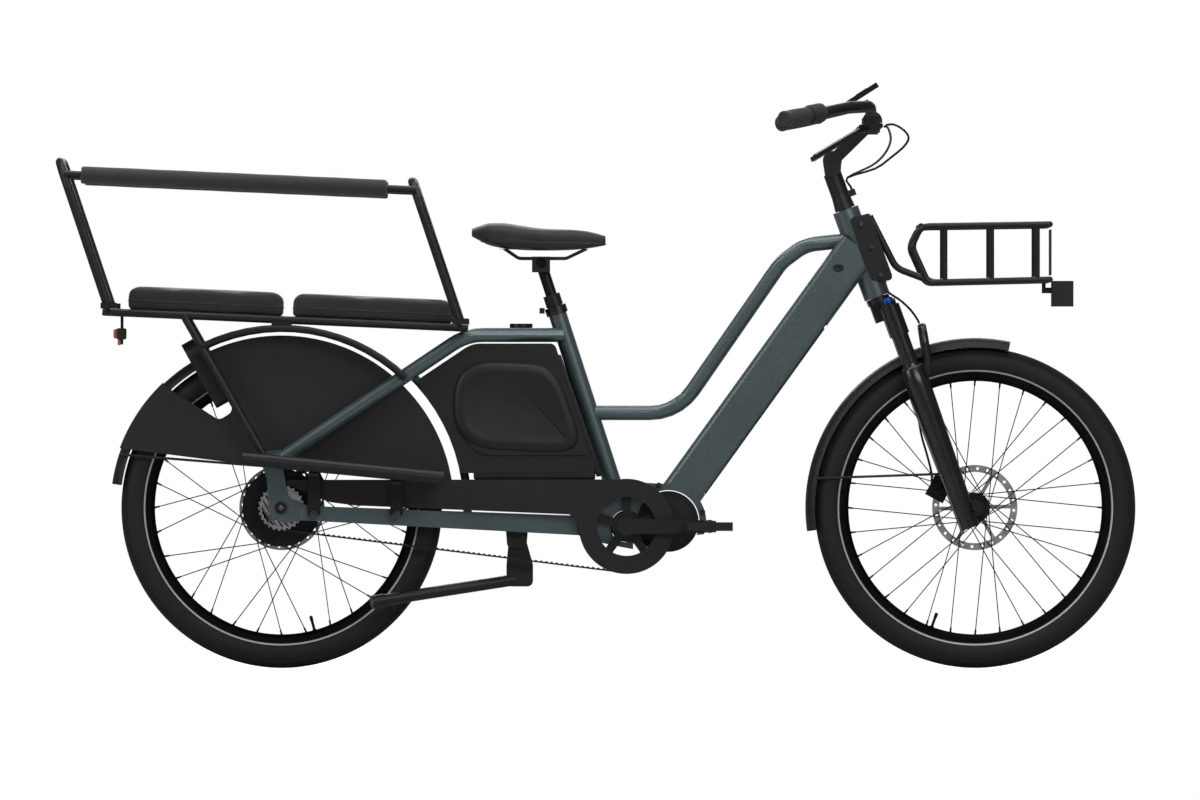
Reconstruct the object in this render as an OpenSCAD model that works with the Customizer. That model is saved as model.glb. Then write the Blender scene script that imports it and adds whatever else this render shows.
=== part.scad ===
// Long-tail electric cargo bicycle, in millimetres. It faces +X, its right
// side is -Y, +Z is up, and the origin is on the ground below its middle.

/* [Wheels] */
// Distance between the two wheel axles
wheelbase = 1462; // [1360:1:1760]
// Outside diameter of both tyres
tyre_od = 676; // [650:1:690]
// Width of both tyres
tyre_w = 60; // [50:1:64]
// Diameter of both brake rotors
rotor_d = 180; // [140:1:203]

/* [Frame] */
// How far the middle of the wheelbase lies ahead of the origin
frame_shift = 64; // [0:1:120]
// Distance from the rear axle forward to the bottom bracket
chainstay_run = 727; // [700:1:800]
// Height of the bottom bracket above the ground
bb_z = 299; // [280:1:320]
// Angle of the steering axis from the ground, in degrees
head_angle = 70; // [68:0.5:72]
// Distance of the front axle ahead of the steering axis
fork_rake = 42; // [30:1:55]
// Height of the head tube's lower end
head_z = 782; // [760:1:800]
// Length of the head tube
head_len = 196; // [170:1:236]
// Outside diameter of the head tube
head_od = 56; // [50:1:60]
// Angle of the seat tube from the ground, in degrees
seat_angle = 72; // [70:0.5:74]
// Height of the seat tube's upper end
seat_top_z = 762; // [730:1:800]
// Outside diameter of the seat tube
seat_od = 38; // [35:0.5:42]
// Depth of the down tube, seen from the side
down_depth = 85; // [80:1:90]
// Width of the down tube
down_width = 76; // [72:1:84]
// Outside diameter of the top tube
top_od = 31.8; // [28:0.1:38]
// Outside diameter of the seat stays
stay_od = 30; // [24:1:32]

/* [Cockpit] */
// Width of the handlebar over its grips
bar_width = 650; // [560:1:780]
// Outside diameter of the handlebar at its ends
bar_od = 22.2; // [22:0.1:25]
// Length of the stem's arm
stem_len = 118; // [100:1:140]
// Angle of the stem's arm above the ground, in degrees
stem_rise = 44.5; // [20:0.5:60]

/* [Drive] */
// Length of each crank arm
crank_len = 175; // [160:1:180]
// Pitch radius of the front belt pulley
pulley_r = 96.3; // [80:0.1:98]
// Pitch radius of the rear belt cog
cog_r = 45.5; // [38:0.1:55]
// Distance of the belt's middle from the centre plane
belt_line = 50; // [49:0.5:51]
// Width of the belt
belt_w = 12; // [8:0.5:12]

/* [Rear rack] */
// Length of the passenger deck
deck_len = 769; // [700:1:930]
// Distance between the deck's side rails, centre to centre
deck_w = 170; // [150:1:180]
// Distance between the sides of the safety rail, centre to centre
hoop_w = 320; // [280:1:390]
// Thickness of the seat pads
pad_h = 44; // [30:1:60]

/* [Front carrier] */
// Width of the front basket
basket_w = 360; // [300:1:432]
// Length of the front basket
basket_len = 286; // [240:1:300]
// Height of the front basket
basket_h = 122; // [80:1:140]

/* [Suspension and seat] */
// Travel of the front fork
fork_travel = 50; // [30:1:50]
// Radius of the fork's inner tubes
stanchion_r = 17; // [15:0.5:17.5]
// Radius of the fork's outer legs
leg_r = 20.5; // [19.5:0.5:22]
// Radius of the seatpost's inner shaft
shaft_r = 12; // [10:0.5:13]

/* [Hidden] */
// Radial clearance of a running or sliding fit
fit = 0.05;
// Length of a cut that has to run past both faces
past = 400;
wheel_r = tyre_od / 2;
tyre_r = tyre_w / 2;
rear_x = frame_shift - wheelbase / 2;
front_x = frame_shift + wheelbase / 2;
bb_x = rear_x + chainstay_run;
bead_r = wheel_r - 54;
rim_in_r = bead_r - 17;
tread_mid_r = wheel_r - tyre_r;
guard_r = wheel_r + 25;
rotor_r = rotor_d / 2;

// X of the steering axis and of the seat tube's axis at a height
function steer_x(z) = front_x - fork_rake / sin(head_angle) - (z - wheel_r) / tan(head_angle);
function seat_x(z) = bb_x - (z - bb_z) / tan(seat_angle);
// A point given in the steering frame, in the part's own frame
function steered(p) = [
    steer_x(head_z) + p.x * sin(head_angle) - p.z * cos(head_angle),
    p.y,
    head_z + p.x * cos(head_angle) + p.z * sin(head_angle)];
axle_drop = (head_z - wheel_r) / sin(head_angle) + fork_rake / tan(head_angle);
leg_x = fork_rake - 25;
leg_y = 66;

function unit(v) = v / norm(v);
function mirror_y(p) = [p.x, -p.y, p.z];
// Angle between two directions
function turn(u, v) = acos(max(-1, min(1, unit(u) * unit(v))));

// Points of an arc of radius r that rounds corner q between p and s
function round_corner(p, q, s, r, n = 8) =
    let(u = unit(p - q), v = unit(s - q), open = turn(u, v), arc = 180 - open,
        c = q + unit(u + v) * r / sin(open / 2), a = q + u * r / tan(open / 2) - c,
        b = q + v * r / tan(open / 2) - c)
    [for (k = [0:n]) c + (sin(arc * (1 - k / n)) * a + sin(arc * k / n) * b) / sin(arc)];
// Outline through corners [x, y, radius], each rounded by its own radius
function outline(c) = [for (i = [0:len(c) - 1])
    let(m = len(c), p = c[(i + m - 1) % m], q = c[i], s = c[(i + 1) % m])
    each (q[2] > 0 ? round_corner([p.x, p.y], [q.x, q.y], [s.x, s.y], q[2]) : [[q.x, q.y]])];
// Corners of a box outline centred on the origin
function box_corners(w, h, r) =
    [[-w / 2, -h / 2, r], [w / 2, -h / 2, r], [w / 2, h / 2, r], [-w / 2, h / 2, r]];
// Catmull-Rom curve through the points, with n steps to each span
function curve(p, n = 3) = [for (i = [0:len(p) - 2]) for (k = [0:n - 1])
    let(t = k / n, a = p[max(i - 1, 0)], b = p[i], c = p[i + 1], d = p[min(i + 2, len(p) - 1)])
    ((2 * b) + (c - a) * t + (2 * a - 5 * b + 4 * c - d) * t * t
     + (3 * b - a - 3 * c + d) * t * t * t) / 2, p[len(p) - 1]];

// Children with their +Z turned from a towards b, starting at a
module along(a, b) {
    d = b - a;
    translate(a) rotate([0, acos(d.z / norm(d)), atan2(d.y, d.x)]) children();
}
// Straight round bar from a to b
module rod(a, b, r) along(a, b) cylinder(r = r, h = norm(b - a), $fn = 32);
// Round bar of few sides from a to b, for plain rails
module bar(a, b, r) along(a, b) cylinder(r = r, h = norm(b - a), $fn = 12);
// Closed tube swept through the points c, with flat sides
module sweep(c, r, sides) {
    n = len(c);
    dir = [for (i = [0:n - 1]) unit(c[min(i + 1, n - 1)] - c[max(i - 1, 0)])];
    side = [for (i = [0:n - 1]) unit(cross(dir[i], [0.31, 0.83, 0.46]))];
    ring = [for (i = [0:n - 1]) for (k = [0:sides - 1])
        c[i] + r * (cos(k * 360 / sides) * side[i] + sin(k * 360 / sides) * cross(dir[i], side[i]))];
    polyhedron(ring, [
        [for (k = [0:sides - 1]) k],
        for (i = [0:n - 2]) for (k = [0:sides - 1]) let(a = i * sides, m = (k + 1) % sides)
            [a + k, a + sides + k, a + sides + m, a + m],
        [for (k = [sides - 1:-1:0]) (n - 1) * sides + k]]);
}
// Points of a route whose inner corners are rounded, each by its own radius
function bend_path(p, bends) = [p[0],
    for (i = [1:1:len(p) - 2]) each round_corner(p[i - 1], p[i], p[i + 1], bends[i - 1], 5),
    p[len(p) - 1]];
// Bar bent through the points, and the same as a tube with a wall
module bent(p, bends, r) sweep(bend_path(p, bends), r, r > 8 ? 18 : 12);
module tube(p, bends, r, wall) difference() {
    bent(p, bends, r);
    bent(p, bends, r - wall);
}
// Thin round hose along a smooth curve
module hose(p, r) sweep(curve(p, 3), r, 8);
// Outline in the X and Z directions, w thick, with its middle at y
module side_plate(y, w) translate([0, y + w / 2, 0]) rotate([90, 0, 0])
    linear_extrude(w) children();
module side_rod(x, y, z, r, w) translate([x, y + w / 2, z]) rotate([90, 0, 0])
    cylinder(r = r, h = w, $fn = 48);
// Children on the steering axis: +Z runs up it, +X runs ahead of it
module on_steering() translate([steer_x(head_z), 0, head_z]) rotate([0, head_angle - 90, 0])
    children();
// Children on a wheel's axle: the wheel's own plane is flat and +Z points left
module on_axle(x) translate([x, 0, wheel_r]) rotate([-90, 0, 0]) children();
module both_sides() {
    children();
    mirror([0, 1, 0]) children();
}

paint = "#4b5a5c";
satin = "#1c1c1d";
plastic = "#2d2d2e";
steel = "#b4b6b8";

// ---- Frame tubes ----
steerer_r = 14.3;
bearing_h = 10;
cup_r = head_od / 2 - 5;
module head_tube() color(paint) on_steering() {
    difference() {
        cylinder(r = head_od / 2, h = head_len, $fn = 64);
        translate([0, 0, -1]) cylinder(r = cup_r, h = head_len + 2, $fn = 64);
    }
    for (z = [0, head_len - bearing_h]) translate([0, 0, z]) difference() {
        cylinder(r = cup_r, h = bearing_h, $fn = 64);
        translate([0, 0, -1]) cylinder(r = steerer_r + fit, h = bearing_h + 2, $fn = 64);
    }
}
// The down tube's own frame: +Z runs up its axis from the foot, +X towards its upper face
down_foot = [bb_x + 110, 0, bb_z + 61];
down_head = steered([0, 0, 0.57 * head_len + 1]);
down_run = norm(down_head - down_foot);
down_tilt = turn(down_head - down_foot, [1, 0, 0]);
battery_start = 38;
battery_len = 430;
battery_gap = 1;
battery_w = 60;
battery_deep = 62;
module on_down() translate(down_foot) rotate([0, 90 - down_tilt, 0]) mirror([1, 0, 0]) children();
module down_tube() color(paint) difference() {
    on_down() difference() {
        translate([0, 0, -28]) linear_extrude(down_run + 28)
            polygon(outline(box_corners(down_depth, down_width, 16)));
        translate([-down_depth / 2 - 1, -battery_w / 2 - battery_gap, battery_start - battery_gap])
            cube([battery_deep + battery_gap + 1, battery_w + 2 * battery_gap, battery_len + 9]);
        translate([-down_depth / 2 + 5, -down_width / 2 + 5, battery_start + battery_len + 20])
            cube([down_depth - 10, down_width - 10, down_run]);
    }
    on_steering() translate([0, 0, -past]) cylinder(r = head_od / 2, h = 2 * past + head_len, $fn = 64);
    on_steering() translate([-3, -past, -past]) cube([past, 2 * past, 3 * past]);
    side_rod(motor_x, 0, motor_z, bracket_r, past);
}
module battery_pack() color(satin) on_down() translate([-down_depth / 2, 0, battery_start]) {
    translate([0, -battery_w / 2, 0]) cube([battery_deep - battery_gap, battery_w, battery_len]);
}
top_z = bb_z + 239;
top_foot = [seat_x(top_z), 0, top_z];
top_head = steered([0, 0, head_len * 0.62 + 8]);
top_path = [top_foot, [seat_x(top_z) + 185, 0, top_z],
    [steer_x(head_z) - 203, 0, head_z + 72], [steer_x(head_z) - 152, 0, head_z + 110], top_head];
module top_tube() color(paint) difference() {
    tube(top_path, [110, 95, 80], top_od / 2, 2);
    on_steering() cylinder(r = head_od / 2, h = head_len, $fn = 64);
    rod([seat_x(0), 0, 0], [seat_x(past * 3), 0, past * 3], seat_od / 2);
}
post_r = 15.5;
seat_foot_z = bb_z + 86;
module seat_tube() color(paint) difference() {
    rod([seat_x(seat_foot_z), 0, seat_foot_z], [seat_x(seat_top_z), 0, seat_top_z], seat_od / 2);
    rod([seat_x(seat_foot_z + 60), 0, seat_foot_z + 60],
        [seat_x(seat_top_z + 20), 0, seat_top_z + 20], post_r + fit);
}
// Chainstays, dropouts, seat stays, brace and bridges, welded together
dropout_y = 71.5;
dropout_w = 8;
stay_slope = 33.8;
stay_low = [rear_x - 5, -70, wheel_r + 100];
bend_z = wheel_r + 364;
stay_bend = [stay_low.x + (bend_z - stay_low.z) / tan(stay_slope), -64, bend_z];
stay_top = [seat_x(bend_z) - 4, -seat_od / 2 + 3, bend_z];
chain_mid_y = 49;
chain_swing = 3.6;
chain_half = 9.5;
chain_rear = [rear_x + 36, wheel_r - 11];
chain_front = [bb_x - 44, bb_z - 1];
brace_r = wheel_r + 54;
bridge_x = bb_x - 231;
bridge_z = bb_z + 12;
axle_r = 8.5;
// Distance of the chainstays' outer faces from the centre plane
function chain_outer(x) = chain_mid_y + chain_half
    + ((chain_rear.x + chain_front.x) / 2 - x) * tan(chain_swing);
module chainstay() translate([(chain_rear.x + chain_front.x) / 2, -chain_mid_y, 0])
    rotate([0, 0, chain_swing]) translate([-(chain_rear.x + chain_front.x) / 2, 0, 0])
        side_plate(0, 2 * chain_half) polygon(outline([
            [chain_rear.x, chain_rear.y - 15, 10], [chain_front.x, chain_front.y - 21, 8],
            [chain_front.x, chain_front.y + 21, 8], [chain_rear.x, chain_rear.y + 15, 10]]));
module dropout() side_plate(-dropout_y, dropout_w) difference() {
    polygon(outline([
        [rear_x - 24, wheel_r - 22, 12], [rear_x + 10, wheel_r - 32, 14],
        [rear_x + 60, wheel_r - 24, 8], [rear_x + 60, wheel_r + 3, 8],
        [rear_x + 16, wheel_r + 22, 12], [rear_x + 4, wheel_r + 82, 8],
        [rear_x + 22, wheel_r + 108, 8], [rear_x - 4, wheel_r + 122, 8],
        [rear_x - 50, wheel_r + 118, 8], [rear_x - 30, wheel_r + 60, 20]]));
    translate([rear_x, wheel_r]) circle(r = axle_r, $fn = 48);
}
module rear_triangle() color(paint) {
    both_sides() {
        chainstay();
        dropout();
        difference() {
            bent([stay_low, stay_bend, stay_top], [110], stay_od / 2);
            rod([seat_x(0), 0, 0], [seat_x(past * 3), 0, past * 3], seat_od / 2);
        }
    }
    sweep([for (a = [-1.5:4.85:47]) [rear_x + brace_r * cos(a), 0, wheel_r + brace_r * sin(a)]], 9, 16);
    bar([rear_x + brace_r * cos(47), -60, wheel_r + brace_r * sin(47)],
        [rear_x + brace_r * cos(47), 60, wheel_r + brace_r * sin(47)], 8);
    bar([bridge_x, -42, bridge_z], [bridge_x, 42, bridge_z], 11);
    bar([rear_x + brace_r, -48, wheel_r - 14], [rear_x + brace_r, 48, wheel_r - 14], 11);
}
// Motor under the tubes' meeting point, and the bracket that carries it
motor_x = bb_x + 88;
motor_z = bb_z + 10;
motor_r = 64;
motor_half = 34;
bracket_y = 38;
crank_axle_r = 10;
bracket_r = motor_r + 16;
module bracket_side() difference() {
    union() {
        translate([motor_x, motor_z]) circle(r = bracket_r, $fn = 96);
        polygon(outline([[bb_x - 100, bb_z - 24, 10], [bb_x - 30, bb_z - 40, 20],
            [bb_x + 12, bb_z - 48, 20], [motor_x, motor_z - bracket_r + 6, 1],
            [motor_x, motor_z + bracket_r - 1, 1], [bb_x - 12, bb_z + 94, 10],
            [bb_x - 100, bb_z + 22, 10]]));
    }
    translate([motor_x, motor_z]) circle(r = motor_r + 2, $fn = 96);
    translate([bb_x, bb_z]) circle(r = 34, $fn = 48);
    polygon([[bb_x + 14, bb_z - 30], [motor_x + 110, motor_z - 24], [motor_x + 110, motor_z - 120],
        [bb_x + 14, motor_z - 120]]);
}
module motor_bracket() color(paint) {
    both_sides() side_plate(-bracket_y, 6) bracket_side();
    side_plate(0, 2 * bracket_y - 6) difference() {
        bracket_side();
        translate([motor_x, motor_z]) circle(r = motor_r + 9, $fn = 96);
        translate([bb_x, bb_z]) circle(r = 74, $fn = 96);
        translate([bb_x - 120, bb_z - 60]) square([110, 200]);
    }
}
module motor_housing() color(satin) difference() {
    union() {
        side_rod(motor_x, 0, motor_z, motor_r, 2 * motor_half);
        side_rod(motor_x, 0, motor_z, motor_r - 12, 2 * motor_half + 16);
        side_rod(bb_x, 0, bb_z, 33, 2 * motor_half + 12);
        side_plate(0, 2 * motor_half) polygon([[bb_x, bb_z - 33], [motor_x, motor_z - motor_r],
            [motor_x, motor_z + motor_r], [bb_x, bb_z + 33]]);
    }
    side_rod(bb_x, 0, bb_z, crank_axle_r + fit, past);
}
// Guard over the belt's outer side, keyhole shaped, with a thin face
guard_y = 67;
guard_w = 9;
module guard_outline(inset) difference() {
    union() {
        translate([bb_x, bb_z]) circle(r = pulley_r + 4 - inset, $fn = 96);
        polygon(outline([[rear_x - 8 + inset, wheel_r + 59 - inset, 5],
            [rear_x + 51, wheel_r + 34 + inset, 20], [rear_x + 102, wheel_r + 12 + inset, 20],
            [rear_x + 154, wheel_r + 5 + inset, 20], [bb_x - 120, bb_z + 25 + inset, 10],
            [bb_x - 60, bb_z - 20, 1], [bb_x, bb_z + 20, 1], [bb_x, wheel_r + 60 - inset, 1]]));
    }
    translate([bb_x, bb_z]) circle(r = 62 + inset, $fn = 96);
}
module belt_guard() color(plastic) difference() {
    side_plate(-guard_y, guard_w) guard_outline(0);
    side_plate(-guard_y + 3, guard_w) guard_outline(3);
}
// Two half shells of the storage box, open towards the centre plane
box_in = 13;
box_out = 58;
box_top = bend_z - stay_od / 2 - 3;
box_low = bb_z + 112;
module box_side(inset) difference() {
    polygon(outline([
        [seat_x(box_low) - 26 - inset, box_low + inset, 8],
        [seat_x(box_top) - 26 - inset, box_top - inset, 14],
        [stay_bend.x + 12, box_top - inset, 60],
        [rear_x + 292, box_top - inset - (stay_bend.x + 12 - rear_x - 292) * tan(stay_slope), 10],
        [rear_x + 292, box_low + inset, 10]]));
    translate([rear_x, wheel_r]) circle(r = brace_r - 8 + inset, $fn = 128);
}
module side_boxes() color(plastic) both_sides() {
    difference() {
        side_plate(-(box_in + box_out) / 2, box_out - box_in) box_side(0);
        side_plate(-(box_in + box_out) / 2 + 3, box_out - box_in) box_side(3);
        on_axle(rear_x) rotate_extrude($fn = 128) translate([brace_r, 0]) circle(r = 9.5, $fn = 32);
    }
    side_plate(-box_out - 2.5, 5) polygon(outline([
        [seat_x(bb_z + 150) - 30, bb_z + 150, 6], [seat_x(bb_z + 346) - 30, bb_z + 346, 6],
        [bb_x - 372, bb_z + 346, 75], [bb_x - 334, bb_z + 150, 60]]));
}
// ---- Rear rack ----
rail_r = 8;
deck_tilt = 2.55;
deck_x1 = rear_x + 393;
deck_x0 = deck_x1 - deck_len;
function deck_z(x) = wheel_r + 396 - (x - rear_x) * tan(deck_tilt);
arch_r = wheel_r + 43;
module rear_rack() color(satin) {
    both_sides() {
        bar([deck_x0, -deck_w / 2, deck_z(deck_x0)], [deck_x1, -deck_w / 2, deck_z(deck_x1)], rail_r);
        bar([rear_x - 204, -deck_w / 2, deck_z(rear_x - 204)],
            [rear_x - 38, -deck_w / 2, wheel_r + 114], 9);
        sweep([for (a = [46:5:116]) [rear_x + (arch_r - 3) * cos(a), -deck_w / 2 - 4,
            wheel_r + (arch_r - 3) * sin(a)]], 7.6, 10);
        translate([rear_x - 20, -deck_w / 2 - 9, wheel_r + arch_r - 5]) cube([40, 14.5, 17]);
    }
    for (f = [0.02, 0.26, 0.5, 0.74, 0.98]) let(x = deck_x0 + deck_len * f, end = f < 0.1 || f > 0.9)
        bar([x, end ? -hoop_w / 2 - 6 : -deck_w / 2, deck_z(x)],
            [x, end ? hoop_w / 2 + 6 : deck_w / 2, deck_z(x)], 7);
    for (y = [-40, 0, 40])
        bar([deck_x0 + deck_len * 0.02, y, deck_z(deck_x0 + deck_len * 0.02) + 0.6],
            [deck_x1 - deck_len * 0.02, y, deck_z(deck_x1 - deck_len * 0.02) + 0.6], 4.6);
}
hoop_r = 10;
hoop_lean = 18.5;
hoop_rise = 314;
function hoop_foot(f) = [deck_x0 + deck_len * f, -hoop_w / 2, deck_z(deck_x0 + deck_len * f) + 7.2];
function hoop_up(p, h) = p + [-h * tan(hoop_lean), 0, h];
module hoop(f, h) {
    p = hoop_foot(f);
    q = hoop_up(p, h);
    bent([p, q, mirror_y(q), mirror_y(p)], [55, 55], hoop_r);
    both_sides() translate(p) translate([0, 0, 6]) cube([34, 30, 12], center = true);
}
rail_a = hoop_up(hoop_foot(0.02), 282);
rail_b = hoop_up(hoop_foot(0.98), 282);
module safety_rail() color(satin) {
    hoop(0.02, hoop_rise - 6);
    hoop(0.98, hoop_rise - 14);
    both_sides() bar(rail_a, rail_b, rail_r);
}
sleeve_dir = unit(rail_b - rail_a);
module foam_sleeves() color("#202021") both_sides() difference() {
    rod(rail_a + sleeve_dir * 36, rail_b - sleeve_dir * 60, 18.5);
    rod(rail_a, rail_b, rail_r);
}
pad_gap = 6;
pad_w = deck_w + 10;
module pad(x0, x1) translate([x0, 0, deck_z(x0) + rail_r + 0.5]) rotate([0, deck_tilt, 0])
    translate([0, 0, pad_h / 2]) rotate([90, 0, 0]) translate([0, 0, -pad_w / 2])
        linear_extrude(pad_w) polygon(outline([for (c = box_corners(x1 - x0, pad_h, 14))
            [c.x + (x1 - x0) / 2, c.y, c.y > 0 ? c[2] : 5]]));
module seat_pads() color("#232324") {
    mid = deck_x0 + deck_len * 0.507;
    pad(deck_x0 + 46, mid - pad_gap / 2);
    pad(mid + pad_gap / 2, deck_x1 - 24);
}
module tail_light() color("#8c1c14") {
    translate([deck_x0 + 21, -30, deck_z(deck_x0) - 55]) cube([29, 60, 27]);
    translate([deck_x0 + 34, -9, deck_z(deck_x0) - 28]) cube([6, 18, 21]);
    translate([deck_x0 + 31, -22, deck_z(deck_x0) - 72]) cube([7, 44, 17]);
}
// ---- Mudguards and wheel covers ----
module guard_section(top_r) difference() {
    translate([top_r - 36, 0]) circle(r = 36, $fn = 64);
    translate([top_r - 36, 0]) circle(r = 33.5, $fn = 64);
    translate([top_r - 100, -50]) square([100 - 20, 100]);
}
module rear_mudguard() color(satin) {
    on_axle(rear_x) rotate([0, 0, -172]) rotate_extrude(angle = 162, $fn = 128)
        guard_section(guard_r - 2);
    both_sides() bar([rear_x - 341, -35.5, wheel_r + 112], [rear_x - 30, -dropout_y + 4, wheel_r + 87], 2.5);
}
skirt_y = 41;
module wheel_skirts() color(plastic) both_sides() side_plate(-skirt_y, 3) difference() {
    translate([rear_x, wheel_r]) circle(r = guard_r, $fn = 128);
    polygon([[rear_x - past, wheel_r + 133], [rear_x - 65, wheel_r + 90],
        [rear_x + 335, wheel_r + 58], [rear_x + past, wheel_r + 58],
        [rear_x + past, wheel_r - past], [rear_x - past, wheel_r - past]]);
    polygon(outline([[rear_x - 246, wheel_r + 256, 12], [rear_x - 172, wheel_r + 210, 12],
        [rear_x - 132, wheel_r + 184, 18], [rear_x - 100, wheel_r + 204, 16],
        [rear_x - 138, wheel_r + 286, 10], [rear_x - 190, wheel_r + 380, 1],
        [rear_x - 290, wheel_r + 340, 1]]));
}
lock_angle = 29.5;
module ring_lock() color(satin) translate([rear_x, 0, wheel_r]) rotate([0, -lock_angle, 0])
    translate([-15, 0, 0]) rotate([90, 0, 90]) linear_extrude(30) difference() {
        polygon(outline([[-66, 250, 10], [66, 250, 10], [66, wheel_r + 64, 40],
            [-66, wheel_r + 64, 40]]));
        polygon(outline([[-46, 200, 0], [46, 200, 0], [46, guard_r + 8, 30], [-46, guard_r + 8, 30]]));
    }
board_len = 425;
board_tilt = 5.5;
module footboards() color(satin) both_sides() {
    translate([rear_x - 80, 0, wheel_r + 104]) rotate([0, board_tilt, 0]) {
        bar([0, -186, 0], [board_len, -186, 0], 14);
        difference() {
            translate([0, -180, -2]) cube([board_len, 82, 8]);
            for (i = [1:9]) translate([board_len * i / 10 - 6, -160, -5]) cube([12, 46, 14]);
        }
        bar([0, -102, 0], [board_len, -102, 0], 7);
    }
    for (x = [rear_x + 69, rear_x + 243]) {
        side_plate(-81, 6) polygon(outline([[x - 14, wheel_r - 18, 8], [x + 14, wheel_r - 18, 8],
            [x + 11, wheel_r + 84 - (x - rear_x) * 0.1, 4],
            [x - 11, wheel_r + 84 - (x - rear_x) * 0.1, 4]]));
        translate([x - 11, -186, wheel_r + 74 - (x - rear_x) * 0.1]) cube([22, 106, 6]);
        side_rod(x, -(chain_outer(x) + 81) / 2, wheel_r - 14, 9, 84 - chain_outer(x));
    }
}
// ---- Front carrier, fixed to the head tube ----
carrier_x = steer_x(head_z) + 78;
carrier_z = head_z + 30;
basket_x1 = carrier_x + basket_len;
module basket_side(y) bent([
    [basket_x1 - 4, y, carrier_z + basket_h], [carrier_x + 12, y, carrier_z + basket_h - 4],
    [carrier_x - 8, y, carrier_z + basket_h * 0.62], [carrier_x + 26, y, carrier_z],
    [basket_x1 - 4, y, carrier_z + 6]], [26, 30, 20], 6.5);
module front_carrier() color(satin) {
    both_sides() on_steering() side_plate(-head_od / 2 - 2.5, 3) polygon(outline([
        [0, 38, 10], [40, 22, 8], [44, 30, 6], [44, 172, 4], [1, 176, 8]]));
    on_steering() translate([41, -head_od / 2 - 4, 32]) cube([4, head_od + 8, 138]);
    both_sides() {
        bent([steered([43, -22, 166]), steered([58, -22, 44]), [carrier_x + 44, -22, carrier_z],
            [basket_x1 - 4, -22, carrier_z + 6]], [40, 40], 7);
        basket_side(-basket_w / 2);
    }
    for (x = [carrier_x + 62, carrier_x + 160, basket_x1 - 30]) {
        z = carrier_z + (x - carrier_x) * 0.021 - 1;
        bar([x, -basket_w / 2, z], [x, basket_w / 2, z], 5);
        both_sides() bar([x, -basket_w / 2, z], [x, -basket_w / 2, carrier_z + basket_h - 2], 5);
    }
    for (z = [carrier_z + 6, carrier_z + basket_h])
        bar([basket_x1 - 4, -basket_w / 2, z], [basket_x1 - 4, basket_w / 2, z], 6.5);
    bar([carrier_x + 12, -basket_w / 2, carrier_z + basket_h - 4],
        [carrier_x + 12, basket_w / 2, carrier_z + basket_h - 4], 6.4);
    translate([basket_x1 - 1, -70, carrier_z + 16]) cube([3, 140, basket_h - 26]);
}
light_x = basket_x1 + 3;
module headlight() color(satin) {
    difference() {
        translate([light_x, -32, carrier_z - 50]) cube([46, 64, 54]);
        translate([light_x + 44, -26, carrier_z - 44]) cube([10, 52, 42]);
    }
    translate([light_x - 20, -10, carrier_z - 22]) cube([20, 20, 12]);
    translate([light_x - 20, -10, carrier_z - 12]) cube([8, 20, 12.5]);
}
// ---- Rear axle, brakes, belt, stand bracket, bolts ----
module rear_axle() color("#303133") difference() {
    union() {
        side_rod(rear_x, 0, wheel_r, axle_r, 2 * dropout_y + 22);
        for (s = [-1, 1]) side_rod(rear_x, s * (dropout_y + dropout_w / 2 + 2.5), wheel_r, 13, 5);
    }
    side_rod(rear_x, 0, wheel_r, 5.5, past);
}
// Caliper body astride a rotor at (x, z), turned by a degrees, with its mount outboard
module caliper_body(x, z, a, rotor_y) translate([x, rotor_y, z]) rotate([0, -a, 0]) {
    difference() {
        translate([rotor_r - 26, -9, -24]) cube([42, 23, 48]);
        translate([rotor_r - 60, -1.8, -60]) cube([60 + 6, 3.6, 120]);
    }
}
rear_rotor_y = 46;
front_rotor_y = 38;
module rear_caliper() color(satin) {
    caliper_body(rear_x, wheel_r, 30, rear_rotor_y);
    translate([rear_x, 63.5, wheel_r]) rotate([0, -30, 0]) translate([rotor_r - 24, -3.6, -20])
        cube([36, 4, 40]);
}
belt_t = 3.6;
function belt_side(s) = let(d = norm([bb_x - rear_x, bb_z - wheel_r]),
    base = atan2(bb_z - wheel_r, bb_x - rear_x), a = base + s * acos((cog_r - pulley_r) / d)) a;
module belt_loop(grow) {
    a = belt_side(1);
    b = belt_side(-1);
    rear = [for (k = [0:24]) let(t = a + k * (360 - a + b) / 24)
        [rear_x + (cog_r + grow) * cos(t), wheel_r + (cog_r + grow) * sin(t)]];
    front = [for (k = [0:48]) let(t = b + k * (a - b) / 48)
        [bb_x + (pulley_r + grow) * cos(t), bb_z + (pulley_r + grow) * sin(t)]];
    polygon(concat(rear, front));
}
module drive_belt() color("#111111") side_plate(-belt_line, belt_w) difference() {
    belt_loop(belt_t / 2 + 0.6);
    belt_loop(-belt_t / 2 + 0.9);
}
stand_pivot = [bb_x - 231, bb_z - 31];
stand_half = 21;
module stand_bracket() color(satin) {
    both_sides() side_plate(-stand_half - 3.5, 6) difference() {
        polygon(outline([[stand_pivot.x - 20, stand_pivot.y - 16, 12],
            [stand_pivot.x + 20, stand_pivot.y - 16, 12], [stand_pivot.x + 24, stand_pivot.y + 31, 3],
            [stand_pivot.x - 24, stand_pivot.y + 31, 3]]));
        translate(stand_pivot) circle(r = 6, $fn = 48);
    }
    side_rod(stand_pivot.x, 0, stand_pivot.y, 6, 2 * stand_half + 18);
}
module bolt(x, y, z, r = 5) side_rod(x, y, z, r, 4);
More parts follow.
